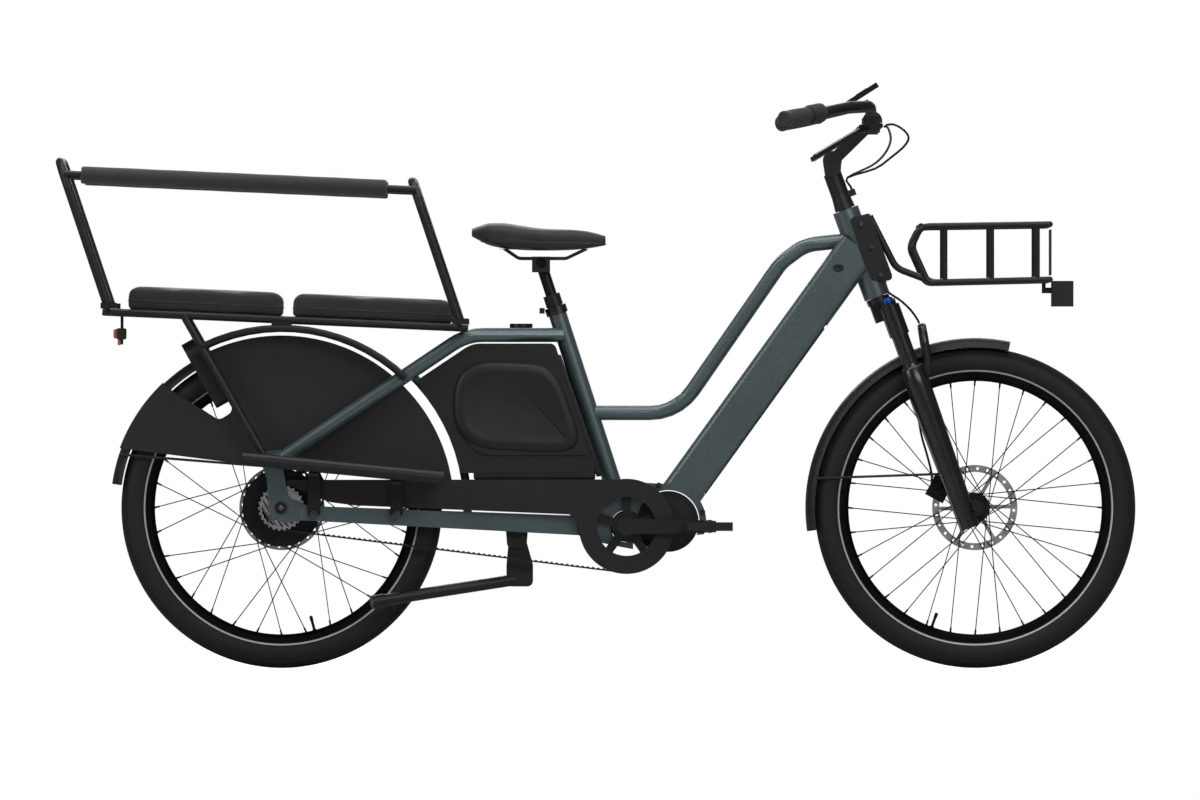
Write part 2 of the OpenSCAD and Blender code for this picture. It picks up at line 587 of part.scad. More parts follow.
module frame_bolts() color("#101010") {
    both_sides() {
        on_steering() for (p = [[20, 156], [24, 102], [22, 42]])
            translate([p.x, -head_od / 2 - 4, p.y]) rotate([90, 0, 0]) cylinder(r = 5, h = 4, $fn = 32);
        for (x = [rear_x + 69, rear_x + 243]) bolt(x, -86, wheel_r - 14, 9);
        bolt(motor_x + 72, -bracket_y - 5, motor_z + 20, 6);
        bolt(motor_x - 20, -bracket_y - 5, motor_z + 76, 6);
    }
    difference() {
        rod([seat_x(seat_top_z - 16), 0, seat_top_z - 16], [seat_x(seat_top_z), 0, seat_top_z],
            seat_od / 2 + 4);
        rod([seat_x(seat_top_z - 30), 0, seat_top_z - 30],
            [seat_x(seat_top_z + 20), 0, seat_top_z + 20], seat_od / 2);
    }
    translate([seat_x(seat_top_z) - seat_od / 2 - 14, -13, seat_top_z - 15]) cube([11, 26, 12]);
    translate([bb_x - 222, 0, bend_z + 14]) cylinder(r = 24, h = 10, $fn = 64);
    rod([bb_x - 222, 0, bend_z - 14], [bb_x - 222, 0, bend_z + 16], 8);
}
// ---- Fork ----
crown_low = -92;
lower_top = -163;
stanchion_in = 175;
module fork_upper() color(satin) on_steering() {
    translate([0, 0, -20]) cylinder(r = steerer_r, h = head_len + 100, $fn = 64);
    translate([0, 0, -14]) cylinder(r = 25, h = 13.5, $fn = 64);
    translate([0, 0, -52]) linear_extrude(38) polygon(outline([[-22, -30, 14], [leg_x - 10, -leg_y - 8, 4],
        [leg_x + 14, -leg_y, 8], [34, 0, 30], [leg_x + 14, leg_y, 8], [leg_x - 10, leg_y + 8, 4],
        [-22, 30, 14]]));
    both_sides() {
        translate([leg_x, -leg_y, crown_low]) cylinder(r = stanchion_r + 3.5, h = 66, $fn = 64);
        translate([leg_x, -leg_y, crown_low + 60]) cylinder(r = stanchion_r - 3, h = 12, $fn = 48);
        translate([leg_x, -leg_y, lower_top - stanchion_in])
            cylinder(r = stanchion_r, h = stanchion_in + crown_low - lower_top + 8, $fn = 64);
    }
}
module fork_lowers() color(satin) on_steering() {
    difference() {
        union() {
            both_sides() {
                translate([leg_x, -leg_y, -axle_drop - 36])
                    cylinder(r = leg_r, h = axle_drop + 36 + lower_top, $fn = 64);
                translate([fork_rake, -leg_y + 9, -axle_drop]) rotate([90, 0, 0])
                    cylinder(r = 17, h = 18, $fn = 48);
            }
            bent([[leg_x + 12, -leg_y + 4, lower_top - 32], [leg_x + 36, -leg_y + 6, lower_top - 2],
                [leg_x + 50, -leg_y + 8, lower_top + 72], [leg_x + 50, leg_y - 8, lower_top + 72],
                [leg_x + 36, leg_y - 6, lower_top - 2], [leg_x + 12, leg_y - 4, lower_top - 32]],
                [12, 34, 34, 12], 9);
        }
        both_sides() translate([leg_x, -leg_y, lower_top - stanchion_in - fork_travel - 20])
            cylinder(r = stanchion_r + fit, h = 400, $fn = 64);
        translate([fork_rake, 0, -axle_drop]) rotate([90, 0, 0])
            cylinder(r = 7.5, h = past, center = true, $fn = 48);
    }
    translate([fork_rake, leg_y + 14, -axle_drop]) rotate([90, 0, 0])
        cylinder(r = 7.5, h = 2 * leg_y + 28, $fn = 48);
}
module front_mudguard() color(satin) {
    on_axle(front_x) rotate([0, 0, -188]) rotate_extrude(angle = 110, $fn = 128)
        guard_section(guard_r - 5);
    both_sides() bar([front_x - 335, -33, wheel_r + 62],
        steered([leg_x - 14, -leg_y + 17, 90 - axle_drop]), 2.5);
}
module front_caliper() color(satin) {
    caliper_body(front_x, wheel_r, 152, front_rotor_y);
}
brake_route = [[4, 20, 30], [24, 26, 6], [46, 44, -26], [62, 66, -62], [66, 86, -104], [50, 94, -150],
    [26, 94, -200], [2, 93, -250], [-10, 91, -300], [-14, 84, -350], [-18, 68, -386],
    [-26, 50, -410]];
module front_brake_hose() color("#0c0c0c")
    hose([for (p = brake_route) steered([p.x + (p.z == 30 ? head_od / 2 - 2 : 0), p.y, p.z])], 2.5);
// ---- Wheels ----
module tyre(x) on_axle(x) rotate_extrude($fn = 180) difference() {
    translate([tread_mid_r, 0]) circle(r = tyre_r, $fn = 64);
    translate([tread_mid_r, 0]) circle(r = tyre_r - 4, $fn = 64);
    translate([0, -past / 2]) square([bead_r, past]);
}
module rim(x) on_axle(x) rotate_extrude($fn = 180) polygon([[rim_in_r, -9], [rim_in_r, 9],
    [rim_in_r + 7, 17], [bead_r, 17], [bead_r, 13], [bead_r - 7, 11], [bead_r - 7, -11],
    [bead_r, -13], [bead_r, -17], [rim_in_r + 7, -17]]);
spokes = 32;
// One side's spokes, alternately leading and trailing, each pair on its own face of the flange
module lacing(x, flange_r, flange_y, shift) on_axle(x) for (i = [0:spokes / 2 - 1]) {
    lead = i % 2 == 0 ? 1 : -1;
    a = i * 720 / spokes + shift;
    b = a + lead * (flange_r > 60 ? 34 : 56);
    y = flange_y + lead * 2;
    rod([flange_r * cos(a), flange_r * sin(a), y],
        [(rim_in_r + 2) * cos(b), (rim_in_r + 2) * sin(b), sign(flange_y) * 4], 1.3);
}
module spoke_set(x, flange_r, flange_y) {
    lacing(x, flange_r, flange_y, 0);
    lacing(x, flange_r, -flange_y, 360 / spokes);
}
module front_hub() color(satin) difference() {
    union() {
        side_rod(front_x, 0, wheel_r, 20, 84);
        for (s = [-1, 1]) side_rod(front_x, s * 28, wheel_r, 31, 4);
    }
    side_rod(front_x, 0, wheel_r, 7.5 + fit, past);
}
hub_shell_r = 76;
driver_r = 20;
module rear_hub() color(satin) difference() {
    union() {
        side_rod(rear_x, 0, wheel_r, hub_shell_r, 52);
        side_rod(rear_x, 0, wheel_r, hub_shell_r - 18, 68);
        for (s = [-1, 1]) side_rod(rear_x, s * 24, wheel_r, hub_shell_r + 6, 4);
        side_rod(rear_x, -46, wheel_r, driver_r, 34);
        side_rod(rear_x, 44, wheel_r, 24, 34);
    }
    side_rod(rear_x, 0, wheel_r, axle_r + fit, past);
}
module rotor(x, y, hub_r) on_axle(x) translate([0, 0, y - 1]) linear_extrude(2) difference() {
    union() {
        difference() {
            circle(r = rotor_r, $fn = 96);
            circle(r = rotor_r - 15, $fn = 96);
        }
        circle(r = hub_r + 12, $fn = 64);
        for (i = [0:5]) rotate(i * 60) translate([hub_r + 7, -6]) square([rotor_r - hub_r - 19, 8]);
    }
    circle(r = hub_r, $fn = 64);
    for (i = [0:23]) rotate(i * 15 + 4) translate([rotor_r - 7.5, 0]) circle(r = 3, $fn = 16);
}
module rear_cog() color(steel) side_plate(-belt_line, belt_w + 4) difference() {
    translate([rear_x, wheel_r]) circle(r = cog_r - belt_t / 2 + 0.6, $fn = 96);
    translate([rear_x, wheel_r]) circle(r = driver_r + fit, $fn = 64);
    for (i = [0:7]) translate([rear_x + 32 * cos(i * 45), wheel_r + 32 * sin(i * 45)])
        circle(r = 6, $fn = 24);
}
// ---- Cranks and pedals ----
arm_y = 84;
pedal_pin_r = 7;
module crank_arm(s) side_plate(-s * arm_y, 13) union() {
    translate([bb_x, bb_z]) circle(r = 20, $fn = 48);
    polygon([[bb_x, bb_z + 17], [bb_x, bb_z - 17], [bb_x + s * crank_len, bb_z - 13],
        [bb_x + s * crank_len, bb_z + 13]]);
    translate([bb_x + s * crank_len, bb_z]) circle(r = 14, $fn = 48);
}
module crankset() color(satin) {
    side_rod(bb_x, 0, bb_z, crank_axle_r, 2 * arm_y + 8);
    for (s = [-1, 1]) {
        crank_arm(s);
        side_rod(bb_x + s * crank_len, -s * (arm_y + 55), bb_z, pedal_pin_r, 104);
    }
    side_plate(-belt_line, belt_w) difference() {
        translate([bb_x, bb_z]) circle(r = pulley_r - belt_t / 2 + 0.6, $fn = 128);
        translate([bb_x, bb_z]) circle(r = pulley_r - 16, $fn = 96);
    }
    side_plate(-belt_line - 3, 6) union() {
        translate([bb_x, bb_z]) circle(r = 30, $fn = 64);
        for (i = [0:4]) translate([bb_x, bb_z]) rotate(i * 72 + 18) translate([20, -9])
            square([pulley_r - 32, 18]);
    }
    side_rod(bb_x, -66, bb_z, 15, 40);
}
module pedal(s) {
    c = [bb_x + s * crank_len, -s * (arm_y + 62), bb_z];
    difference() {
        translate(c) union() {
            translate([-48, -44, -9]) cube([96, 10, 18]);
            translate([-48, 34, -9]) cube([96, 10, 18]);
            for (x = [-48, 38]) translate([x, -44, -9]) cube([10, 88, 18]);
            translate([-13, -44, -12]) cube([26, 88, 24]);
        }
        side_rod(c.x, c.y, c.z, pedal_pin_r + fit, 200);
    }
}
// ---- Seat ----
function on_seat(h) = [seat_x(seat_top_z) - h * cos(seat_angle), 0, seat_top_z + h * sin(seat_angle)];
module seatpost() color(satin) difference() {
    union() {
        rod(on_seat(-150), on_seat(2), post_r);
        rod(on_seat(1), on_seat(26), post_r + 2.5);
    }
    rod(on_seat(-110), on_seat(40), shaft_r + fit);
}
tilt_axis = on_seat(96);
module suspension_shaft() color("#2a2a2b") {
    rod(on_seat(-60), on_seat(84), shaft_r);
    side_rod(tilt_axis.x, 0, tilt_axis.z, 11, 36);
    translate([tilt_axis.x - 10, -12, tilt_axis.z - 18]) cube([20, 24, 12]);
}
saddle_x = tilt_axis.x + 13;
saddle_z = tilt_axis.z + 46;
module saddle() color("#1f1f20") {
    hull() {
        for (p = [[-136, 60, 6], [-100, 68, -2], [-30, 40, -4], [60, 20, -2], [112, 14, 0],
            [-146, 48, 26], [-108, 60, 27], [-50, 40, 19], [20, 24, 13], [98, 15, 7]]) both_sides()
            translate([saddle_x + p.x, -p.y, saddle_z + p.z]) sphere(r = 14, $fn = 20);
    }
    both_sides() bent([[saddle_x - 92, -22, saddle_z - 14], [saddle_x - 60, -22, saddle_z - 36],
        [saddle_x + 40, -22, saddle_z - 36], [saddle_x + 84, -22, saddle_z - 15]], [20, 20], 3.5);
    difference() {
        translate([tilt_axis.x - 19, -30, tilt_axis.z - 19]) cube([38, 60, 33]);
        side_rod(tilt_axis.x, 0, tilt_axis.z, 11 + fit, past);
        translate([tilt_axis.x - 30, -14, tilt_axis.z - 40]) cube([60, 28, 36]);
    }
}
// ---- Stand ----
foot_rest = [bb_x - 536, bb_z - 160];
module kickstand() color(satin) {
    difference() {
        side_plate(0, 2 * stand_half) polygon(outline([
            [stand_pivot.x - 16, stand_pivot.y + 14, 12], [stand_pivot.x + 16, stand_pivot.y + 14, 12],
            [stand_pivot.x + 34, stand_pivot.y - 50, 8], [stand_pivot.x + 34, stand_pivot.y - 96, 12],
            [stand_pivot.x - 22, stand_pivot.y - 96, 12], [stand_pivot.x - 22, stand_pivot.y - 50, 8]]));
        side_rod(stand_pivot.x, 0, stand_pivot.y, 6 + fit, past);
    }
    both_sides() {
        rod([stand_pivot.x - 4, -9, stand_pivot.y - 82], [foot_rest.x + 14, -96, foot_rest.y + 3], 12);
        rod([foot_rest.x + 26, -93, foot_rest.y + 5], [foot_rest.x, -100, foot_rest.y], 14);
    }
}
// ---- Handlebar, stem and controls ----
stem_pivot = steered([9.5, 0, head_len + 107]);
bar_centre = stem_pivot + stem_len * [cos(stem_rise), 0, sin(stem_rise)];
bar_half = bar_width / 2;
grip_in = bar_centre + [-110, -bar_half + 100, 15];
grip_out = bar_centre + [-188, -bar_half, 0];
bar_path = [bar_centre, bar_centre + [0, -38, 0], bar_centre + [-5, -100, 31],
    bar_centre + [-48, -150, 29], grip_in, grip_out];
grip_dir = unit(grip_out - grip_in);
port_x = 27;
function in_port(y, h) = steered([port_x, y, head_len + h]);
module stem_column() color(satin) {
    on_steering() difference() {
        union() {
            translate([0, 0, head_len + 1]) cylinder(r1 = 22, r2 = 19, h = 30, $fn = 64);
            translate([0, 0, head_len + 30]) cylinder(r = 19, h = 52, $fn = 64);
        }
        cylinder(r = steerer_r, h = head_len + 80, $fn = 64);
    }
    both_sides() side_plate(-18, 7) difference() {
        union() {
            translate([stem_pivot.x, stem_pivot.z]) circle(r = 20, $fn = 48);
            polygon([for (p = [[-17, head_len + 76], [17, head_len + 76], [29, head_len + 104],
                [-10, head_len + 112]]) let(q = steered([p.x, 0, p.y])) [q.x, q.z]]);
        }
        translate([stem_pivot.x, stem_pivot.z]) circle(r = 6, $fn = 48);
    }
    side_rod(stem_pivot.x, 0, stem_pivot.z, 6, 46);
    on_steering() difference() {
        translate([16, -11, head_len + 22]) cube([17, 22, 14]);
        for (y = [-5.5, 5.5]) translate([port_x, y, head_len]) cylinder(r = 3.4, h = 60, $fn = 32);
    }
}
module stem_arm() color(satin) difference() {
    union() {
        side_rod(stem_pivot.x, 0, stem_pivot.z, 18.5, 28);
        along(stem_pivot, bar_centre) translate([-12, -13, 0]) cube([26, 26, stem_len - 10]);
        side_rod(bar_centre.x, 0, bar_centre.z, 21, 44);
    }
    side_rod(stem_pivot.x, 0, stem_pivot.z, 6 + fit, past);
    side_rod(bar_centre.x, 0, bar_centre.z, 13, past);
}
module handlebar() color(satin) {
    side_rod(bar_centre.x, 0, bar_centre.z, 13, 60);
    difference() {
        both_sides() bent(bar_path, [30, 26, 40, 60], bar_od / 2);
        side_rod(bar_centre.x, 0, bar_centre.z, 13, 60);
    }
}
shifter_len = 44;
module grips() color("#1d1d1e") {
    difference() {
        rod(grip_in + grip_dir * (shifter_len + 2), grip_out + grip_dir * 3, 17.5);
        rod(grip_in, grip_out, bar_od / 2);
    }
    mirror([0, 1, 0]) difference() {
        rod(grip_in, grip_out + grip_dir * 3, 17.5);
        rod(grip_in - grip_dir * 10, grip_out, bar_od / 2);
    }
}
module twist_shifter() color(plastic) difference() {
    rod(grip_in + grip_dir * 2, grip_in + grip_dir * shifter_len, 21);
    rod(grip_in - grip_dir * 10, grip_out, bar_od / 2 + fit);
}
display_at = bar_centre + [-20, 0, 57];
module display() color("#0e0e0f") {
    translate(display_at) rotate([0, -32.5, 0]) difference() {
        translate([-37, -30, -5]) cube([74, 60, 11]);
        translate([-14, -9, 1]) cube([28, 18, 10]);
    }
    along(bar_centre + [0, -16, 12], display_at + [2, -16, -3]) translate([-5, -3, 9]) cube([10, 6, 26]);
    along(bar_centre + [0, 16, 12], display_at + [2, 16, -3]) translate([-5, -3, 9]) cube([10, 6, 26]);
}
module assist_rocker() color("#4a4a4b") translate(display_at) rotate([0, -32.5, 0])
    translate([-13.6, -8.6, 2]) cube([27.2, 17.2, 5]);
brake_at = bar_centre + [-12, -148, -8];
lever_tip = bar_centre + [-124, -262, -78];
lever_root = brake_at + [-10, -16, -9];
pull = unit(cross(lever_tip - lever_root, grip_out + [40, 50, 0] - lever_tip));
module brake_bodies() color(satin) both_sides() difference() {
    union() {
        translate(brake_at + [-8, -22, -18]) cube([34, 46, 34]);
        along(brake_at + [9, 10, 0], brake_at + [30, 40, -3]) cylinder(r = 6, h = 34, $fn = 32);
        rod(lever_root - pull * 17, lever_root + pull * 17, 4);
    }
    both_sides() bent(bar_path, [30, 26, 40, 60], bar_od / 2);
    rod(lever_root - pull * 5.5, lever_root + pull * 5.5, 17);
}
module lever() {
    difference() {
        union() {
            rod(lever_root - pull * 5, lever_root + pull * 5, 9);
            along(lever_root, lever_tip) translate([-4.5, -4.5, 0])
                cube([9, 9, norm(lever_tip - lever_root)]);
        }
        rod(lever_root - pull * 20, lever_root + pull * 20, 4 + fit);
    }
}
right_route = [[27, -104, -10], [44, -90, -8], [66, -66, -20], [76, -46, -36], [66, -34, -54],
    [40, -26, -76], [6, -16, -100]];
left_route = [[27, 104, -10], [34, 90, -12], [40, 70, -32], [36, 50, -52], [22, 34, -74],
    [-2, 22, -94]];
module control_hoses() color("#0c0c0c") {
    for (r = [[right_route, -5.5], [left_route, 5.5]])
        hose([for (p = r[0]) bar_centre + p, for (h = [62, 42, 28]) in_port(r[1], h)], 2.5);
}

head_tube();
down_tube();
top_tube();
seat_tube();
rear_triangle();
motor_bracket();
motor_housing();
belt_guard();
side_boxes();
rear_rack();
safety_rail();
foam_sleeves();
seat_pads();
tail_light();
rear_mudguard();
wheel_skirts();
ring_lock();
footboards();
front_carrier();
headlight();
rear_axle();
rear_caliper();
drive_belt();
stand_bracket();
frame_bolts();
fork_upper();
stem_column();
stem_arm();
handlebar();
grips();
display();
brake_bodies();
control_hoses();
fork_lowers();
front_mudguard();
front_caliper();
front_brake_hose();
color("#161617") tyre(front_x);  // front_tyre
color(satin) rim(front_x);  // front_rim
color(satin) spoke_set(front_x, 28, 28);  // front_spokes
front_hub();
color(steel) rotor(front_x, front_rotor_y, 20);  // front_rotor
color("#161617") tyre(rear_x);  // rear_tyre
color(satin) rim(rear_x);  // rear_rim
color(satin) spoke_set(rear_x, hub_shell_r + 3, 24);  // rear_spokes
rear_hub();
color(steel) rotor(rear_x, rear_rotor_y, 24);  // rear_rotor
rear_cog();
crankset();
color(satin) pedal(1);  // pedal_right
color(satin) pedal(-1);  // pedal_left
seatpost();
suspension_shaft();
saddle();
kickstand();
color(steel) lever();  // brake_lever_right
color(steel) mirror([0, 1, 0]) lever();  // brake_lever_left
twist_shifter();
battery_pack();
assist_rocker();
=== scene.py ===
# %% [markdown]
# # A long-tail cargo bicycle
# The frame, wheels and fittings arrive as exact CAD solids. This notebook gives every one of
# them its finish, and models what a CAD solid says badly: tread blocks, padded seats, foam,
# ribbed grips, belt teeth, lenses and bolts. Everything is in metres, X forward, Z up.

# %% Load the model
import math
import bpy
import bmesh
from mathutils import Matrix, Vector


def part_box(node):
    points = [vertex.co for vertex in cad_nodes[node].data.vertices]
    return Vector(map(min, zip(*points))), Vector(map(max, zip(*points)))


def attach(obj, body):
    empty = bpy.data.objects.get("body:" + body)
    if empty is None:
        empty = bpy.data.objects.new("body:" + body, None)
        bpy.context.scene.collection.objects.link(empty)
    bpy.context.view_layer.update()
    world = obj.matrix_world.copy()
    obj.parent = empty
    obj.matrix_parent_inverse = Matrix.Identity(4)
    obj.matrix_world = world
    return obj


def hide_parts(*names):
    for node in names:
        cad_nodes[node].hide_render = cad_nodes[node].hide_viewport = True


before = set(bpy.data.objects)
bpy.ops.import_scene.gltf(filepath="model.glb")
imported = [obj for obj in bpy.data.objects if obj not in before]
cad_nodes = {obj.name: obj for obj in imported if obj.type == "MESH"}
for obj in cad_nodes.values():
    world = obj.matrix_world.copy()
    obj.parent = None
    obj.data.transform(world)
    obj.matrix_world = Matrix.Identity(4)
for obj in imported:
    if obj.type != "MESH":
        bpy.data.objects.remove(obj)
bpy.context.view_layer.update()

# %% [markdown]
# ## The places everything is measured from
# Wheels turn about their axles, the cranks about the bottom bracket, and the fork about a
# steering axis that leans back 20 degrees. Boxes of CAD nodes give most of these places, so
# a piece built here still fits if the CAD changes size a little.

# %% Axles and axes
def middle(node):
    low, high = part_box(node)
    return (low + high) / 2


front_axle = middle("front_tyre")
rear_axle = middle("rear_tyre")
crank_axle = Vector((0.060, 0, 0.299))
steer_up = Vector((-math.cos(math.radians(70)), 0, math.sin(math.radians(70))))
steer_forward = Vector((math.sin(math.radians(70)), 0, math.cos(math.radians(70))))
steer_base = Vector((0.58870175, 0, 0.782))


def steered(x, y, z):
    return steer_base + steer_forward * x + Vector((0, y, 0)) + steer_up * z


print("axles:", front_axle, rear_axle)

# %% [markdown]
# ## Handling helpers
# Blender's operators work on what is selected, so each step first selects one object alone.
# A finished piece has its place in its mesh and its object at the origin, rides on one body
# of the bicycle, and gets its material.

# %% Select, edit and hand over a piece
weld = 0.00002


def alone(obj):
    if bpy.context.object and bpy.context.object.mode != "OBJECT":
        bpy.ops.object.mode_set(mode="OBJECT")
    bpy.ops.object.select_all(action="DESELECT")
    obj.select_set(True)
    bpy.context.view_layer.objects.active = obj
    return obj


def edit_all(obj):
    """Goes into edit mode with everything selected."""
    alone(obj)
    bpy.ops.object.mode_set(mode="EDIT")
    bpy.ops.mesh.select_all(action="SELECT")
    return obj


def merged(obj):
    """A CAD mesh is loose triangles, which are merged in a copy before it is worked on."""
    edit_all(obj)
    bpy.ops.mesh.remove_doubles(threshold=weld)
    return obj


def select_faces(obj, wanted):
    """Goes into edit mode with only the wanted faces selected."""
    alone(obj)
    bpy.ops.object.mode_set(mode="EDIT")
    bpy.ops.mesh.select_mode(type="FACE")
    mesh = bmesh.from_edit_mesh(obj.data)
    count = 0
    for face in mesh.faces:
        face.select = bool(wanted(face.calc_center_median(), face.normal))
        count += face.select
    mesh.select_flush_mode()
    bmesh.update_edit_mesh(obj.data)
    return count


def apply_all(obj):
    alone(obj)
    for modifier in list(obj.modifiers):
        bpy.ops.object.modifier_apply(modifier=modifier.name)
    bpy.ops.object.transform_apply(location=True, rotation=True, scale=True)
    return obj


def hand_over(obj, name, body, slot, material, *stands_for):
    edit_all(apply_all(obj))
    bpy.ops.mesh.normals_make_consistent(inside=False)
    bpy.ops.object.mode_set(mode="OBJECT")
    obj.name = obj.data.name = name
    obj.data.materials.clear()
    obj.data.materials.append(material)
    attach(obj, body)
    if stands_for:
        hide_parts(*stands_for)
    print(name, "rides on", body, "with", len(obj.data.polygons), "faces")
    return obj


def copy_of(obj):
    twin = obj.copy()
    twin.data = obj.data.copy()
    for key in [k for k in twin.keys() if k.startswith("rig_")]:
        del twin[key]
    twin.parent = None
    bpy.context.scene.collection.objects.link(twin)
    return alone(twin)


def joined(objs, name):
    alone(objs[0])
    for obj in objs[1:]:
        obj.select_set(True)
    if len(objs) > 1:
        bpy.ops.object.join()
    objs[0].name = name
    return objs[0]


def aim(direction):
    """Turns +Z to the direction."""
    return Vector(direction).normalized().to_track_quat("Z", "Y").to_matrix().to_4x4()


# %% [markdown]
# ## Turned pieces
# Grips, foam sleeves, bolts and caps are all round about one line. A disc is extruded along
# that line and resized at every station, the way a potter pulls up a wall. One helper does
# that from a list of distances and radii.

# %% A turned piece
def turned(stations, start, direction, sides=32):
    (first, radius), rest = stations[0], stations[1:]
    bpy.ops.object.select_all(action="DESELECT")
    bpy.ops.mesh.primitive_circle_add(vertices=sides, radius=radius, fill_type="NGON",
                                      location=(0, 0, first))
    piece = bpy.context.object
    bpy.ops.object.transform_apply(location=True)
    edit_all(piece)
    here = first
    for distance, new_radius in rest:
        bpy.ops.mesh.extrude_region_move(
            TRANSFORM_OT_translate={"value": (0, 0, distance - here)})
        scale = new_radius / radius
        bpy.ops.transform.resize(value=(scale, scale, 1), center_override=(0, 0, distance))
        here, radius = distance, new_radius
    bpy.ops.mesh.select_all(action="SELECT")
    bpy.ops.mesh.normals_make_consistent(inside=False)
    bpy.ops.object.mode_set(mode="OBJECT")
    bpy.ops.object.shade_smooth_by_angle(angle=math.radians(35))
    piece.data.transform(Matrix.Translation(Vector(start)) @ aim(direction))
    return piece


def block(size, centre, turn=0.0, bevel=0.003, segments=3):
    """A box with rounded edges, turned about Y."""
    bpy.ops.object.select_all(action="DESELECT")
    bpy.ops.mesh.primitive_cube_add(size=1, location=centre, rotation=(0, turn, 0))
    piece = bpy.context.object
    piece.scale = size
    bpy.ops.object.transform_apply(location=True, rotation=True, scale=True)
    edit_all(piece)
    bpy.ops.mesh.bevel(offset=bevel, segments=segments)
    bpy.ops.object.mode_set(mode="OBJECT")
    bpy.ops.object.shade_smooth_by_angle(angle=math.radians(40))
    return piece


# %% [markdown]
# ## Shared surface effects
# Four effects come up again and again, so each is a node group built once: fine grain, the
# pebbled skin of moulded plastic and vinyl, the brushed lines of turned metal, and faint
# handling marks. Each gives masks and normals only, and the shader itself stays in the material.

# %% A node group with named sockets
def effect(name, inputs, outputs):
    group = bpy.data.node_groups.new(name, "ShaderNodeTree")
    for label, default in inputs:
        socket = group.interface.new_socket(label, in_out="INPUT", socket_type="NodeSocketFloat")
        socket.default_value = default
    for label, kind in outputs:
        group.interface.new_socket(label, in_out="OUTPUT", socket_type=kind)
    entry = group.nodes.new("NodeGroupInput")
    leave = group.nodes.new("NodeGroupOutput")
    where = group.nodes.new("ShaderNodeTexCoord").outputs["Object"]
    return group, entry.outputs, leave.inputs, where


def node(tree, kind, links=(), **settings):
    made = tree.nodes.new(kind)
    for key, value in settings.items():
        if key in made.bl_rna.properties:
            setattr(made, key, value)
        else:
            made.inputs[key.replace("_", " ")].default_value = value
    for socket, source in links:
        tree.links.new(source, made.inputs[socket])
    return made


mask_and_normal = [("Mask", "NodeSocketFloat"), ("Normal", "NodeSocketVector")]


def put_out(group, height, given, out, strength, invert=False):
    """The height is the mask, and a bump of it the normal."""
    bump = node(group, "ShaderNodeBump", [("Height", height), ("Distance", given["Depth"])],
                Strength=strength, invert=invert)
    group.links.new(height, out["Mask"])
    group.links.new(bump.outputs["Normal"], out["Normal"])


# %% Fine grain: a powder coat or cast surface
grain, given, out, where = effect(
    "fine grain", [("Scale", 1800), ("Depth", 0.0001)], mask_and_normal)
speck = node(grain, "ShaderNodeTexNoise", [("Vector", where), ("Scale", given["Scale"])],
             Detail=3, Roughness=0.6)
put_out(grain, speck.outputs["Fac"], given, out, 0.6)

# %% Pebbled skin: rounded cells with creases between them
pebble, given, out, where = effect(
    "pebbled skin", [("Scale", 700), ("Depth", 0.0003)], mask_and_normal)
cells = node(pebble, "ShaderNodeTexVoronoi", [("Vector", where), ("Scale", given["Scale"])],
             feature="SMOOTH_F1", Smoothness=0.35)
round_off = node(pebble, "ShaderNodeMapRange", [("Value", cells.outputs["Distance"])])
round_off.inputs["From Max"].default_value = 0.75
put_out(pebble, round_off.outputs["Result"], given, out, 0.7, invert=True)

# %% Brushed lines: noise stretched along one direction
brushed, given, out, where = effect(
    "brushed lines", [("Scale", 900), ("Depth", 0.00005)], mask_and_normal)
stretch = node(brushed, "ShaderNodeMapping", [("Vector", where)])
stretch.inputs["Scale"].default_value = (1, 0.03, 1)
lines = node(brushed, "ShaderNodeTexNoise",
             [("Vector", stretch.outputs["Vector"]), ("Scale", given["Scale"])], Detail=2)
put_out(brushed, lines.outputs["Fac"], given, out, 0.5)

# %% Handling marks: broad soft patches broken up by a finer pattern
marks, given, out, where = effect(
    "handling marks", [("Scale", 14), ("Amount", 0.5)], [("Mask", "NodeSocketFloat")])
broad = node(marks, "ShaderNodeTexNoise", [("Vector", where), ("Scale", given["Scale"])],
             Detail=5, Roughness=0.62)
spread = node(marks, "ShaderNodeMapRange", [("Value", broad.outputs["Fac"])])
spread.inputs["From Min"].default_value = 0.35
spread.inputs["From Max"].default_value = 0.68
amount = node(marks, "ShaderNodeMath", [(0, spread.outputs["Result"]), (1, given["Amount"])],
              operation="MULTIPLY")
marks.links.new(amount.outputs["Value"], out["Mask"])
print("effects:", [g.name for g in bpy.data.node_groups])


# %% [markdown]
# ## How a finish is put together
# Every finish mixes two close colours through the handling marks, lets the same mask move the
# roughness, and takes its normal from one texture effect. What is the same all over, such as
# coat or sheen, is set straight on the shader.

# %% A finish
def mixed(tree, factor, first, second):
    mix = tree.nodes.new("ShaderNodeMix")
    mix.data_type = "RGBA"
    mix.inputs[6].default_value = (*first, 1) if not hasattr(first, "links") else (0, 0, 0, 1)
    if hasattr(first, "links"):
        tree.links.new(first, mix.inputs[6])
    mix.inputs[7].default_value = (*second, 1)
    tree.links.new(factor, mix.inputs[0])
    return mix.outputs[2]


def ranged(tree, factor, low, high):
    spread = node(tree, "ShaderNodeMapRange", [("Value", factor)])
    spread.inputs["To Min"].default_value = low
    spread.inputs["To Max"].default_value = high
    return spread.outputs["Result"]


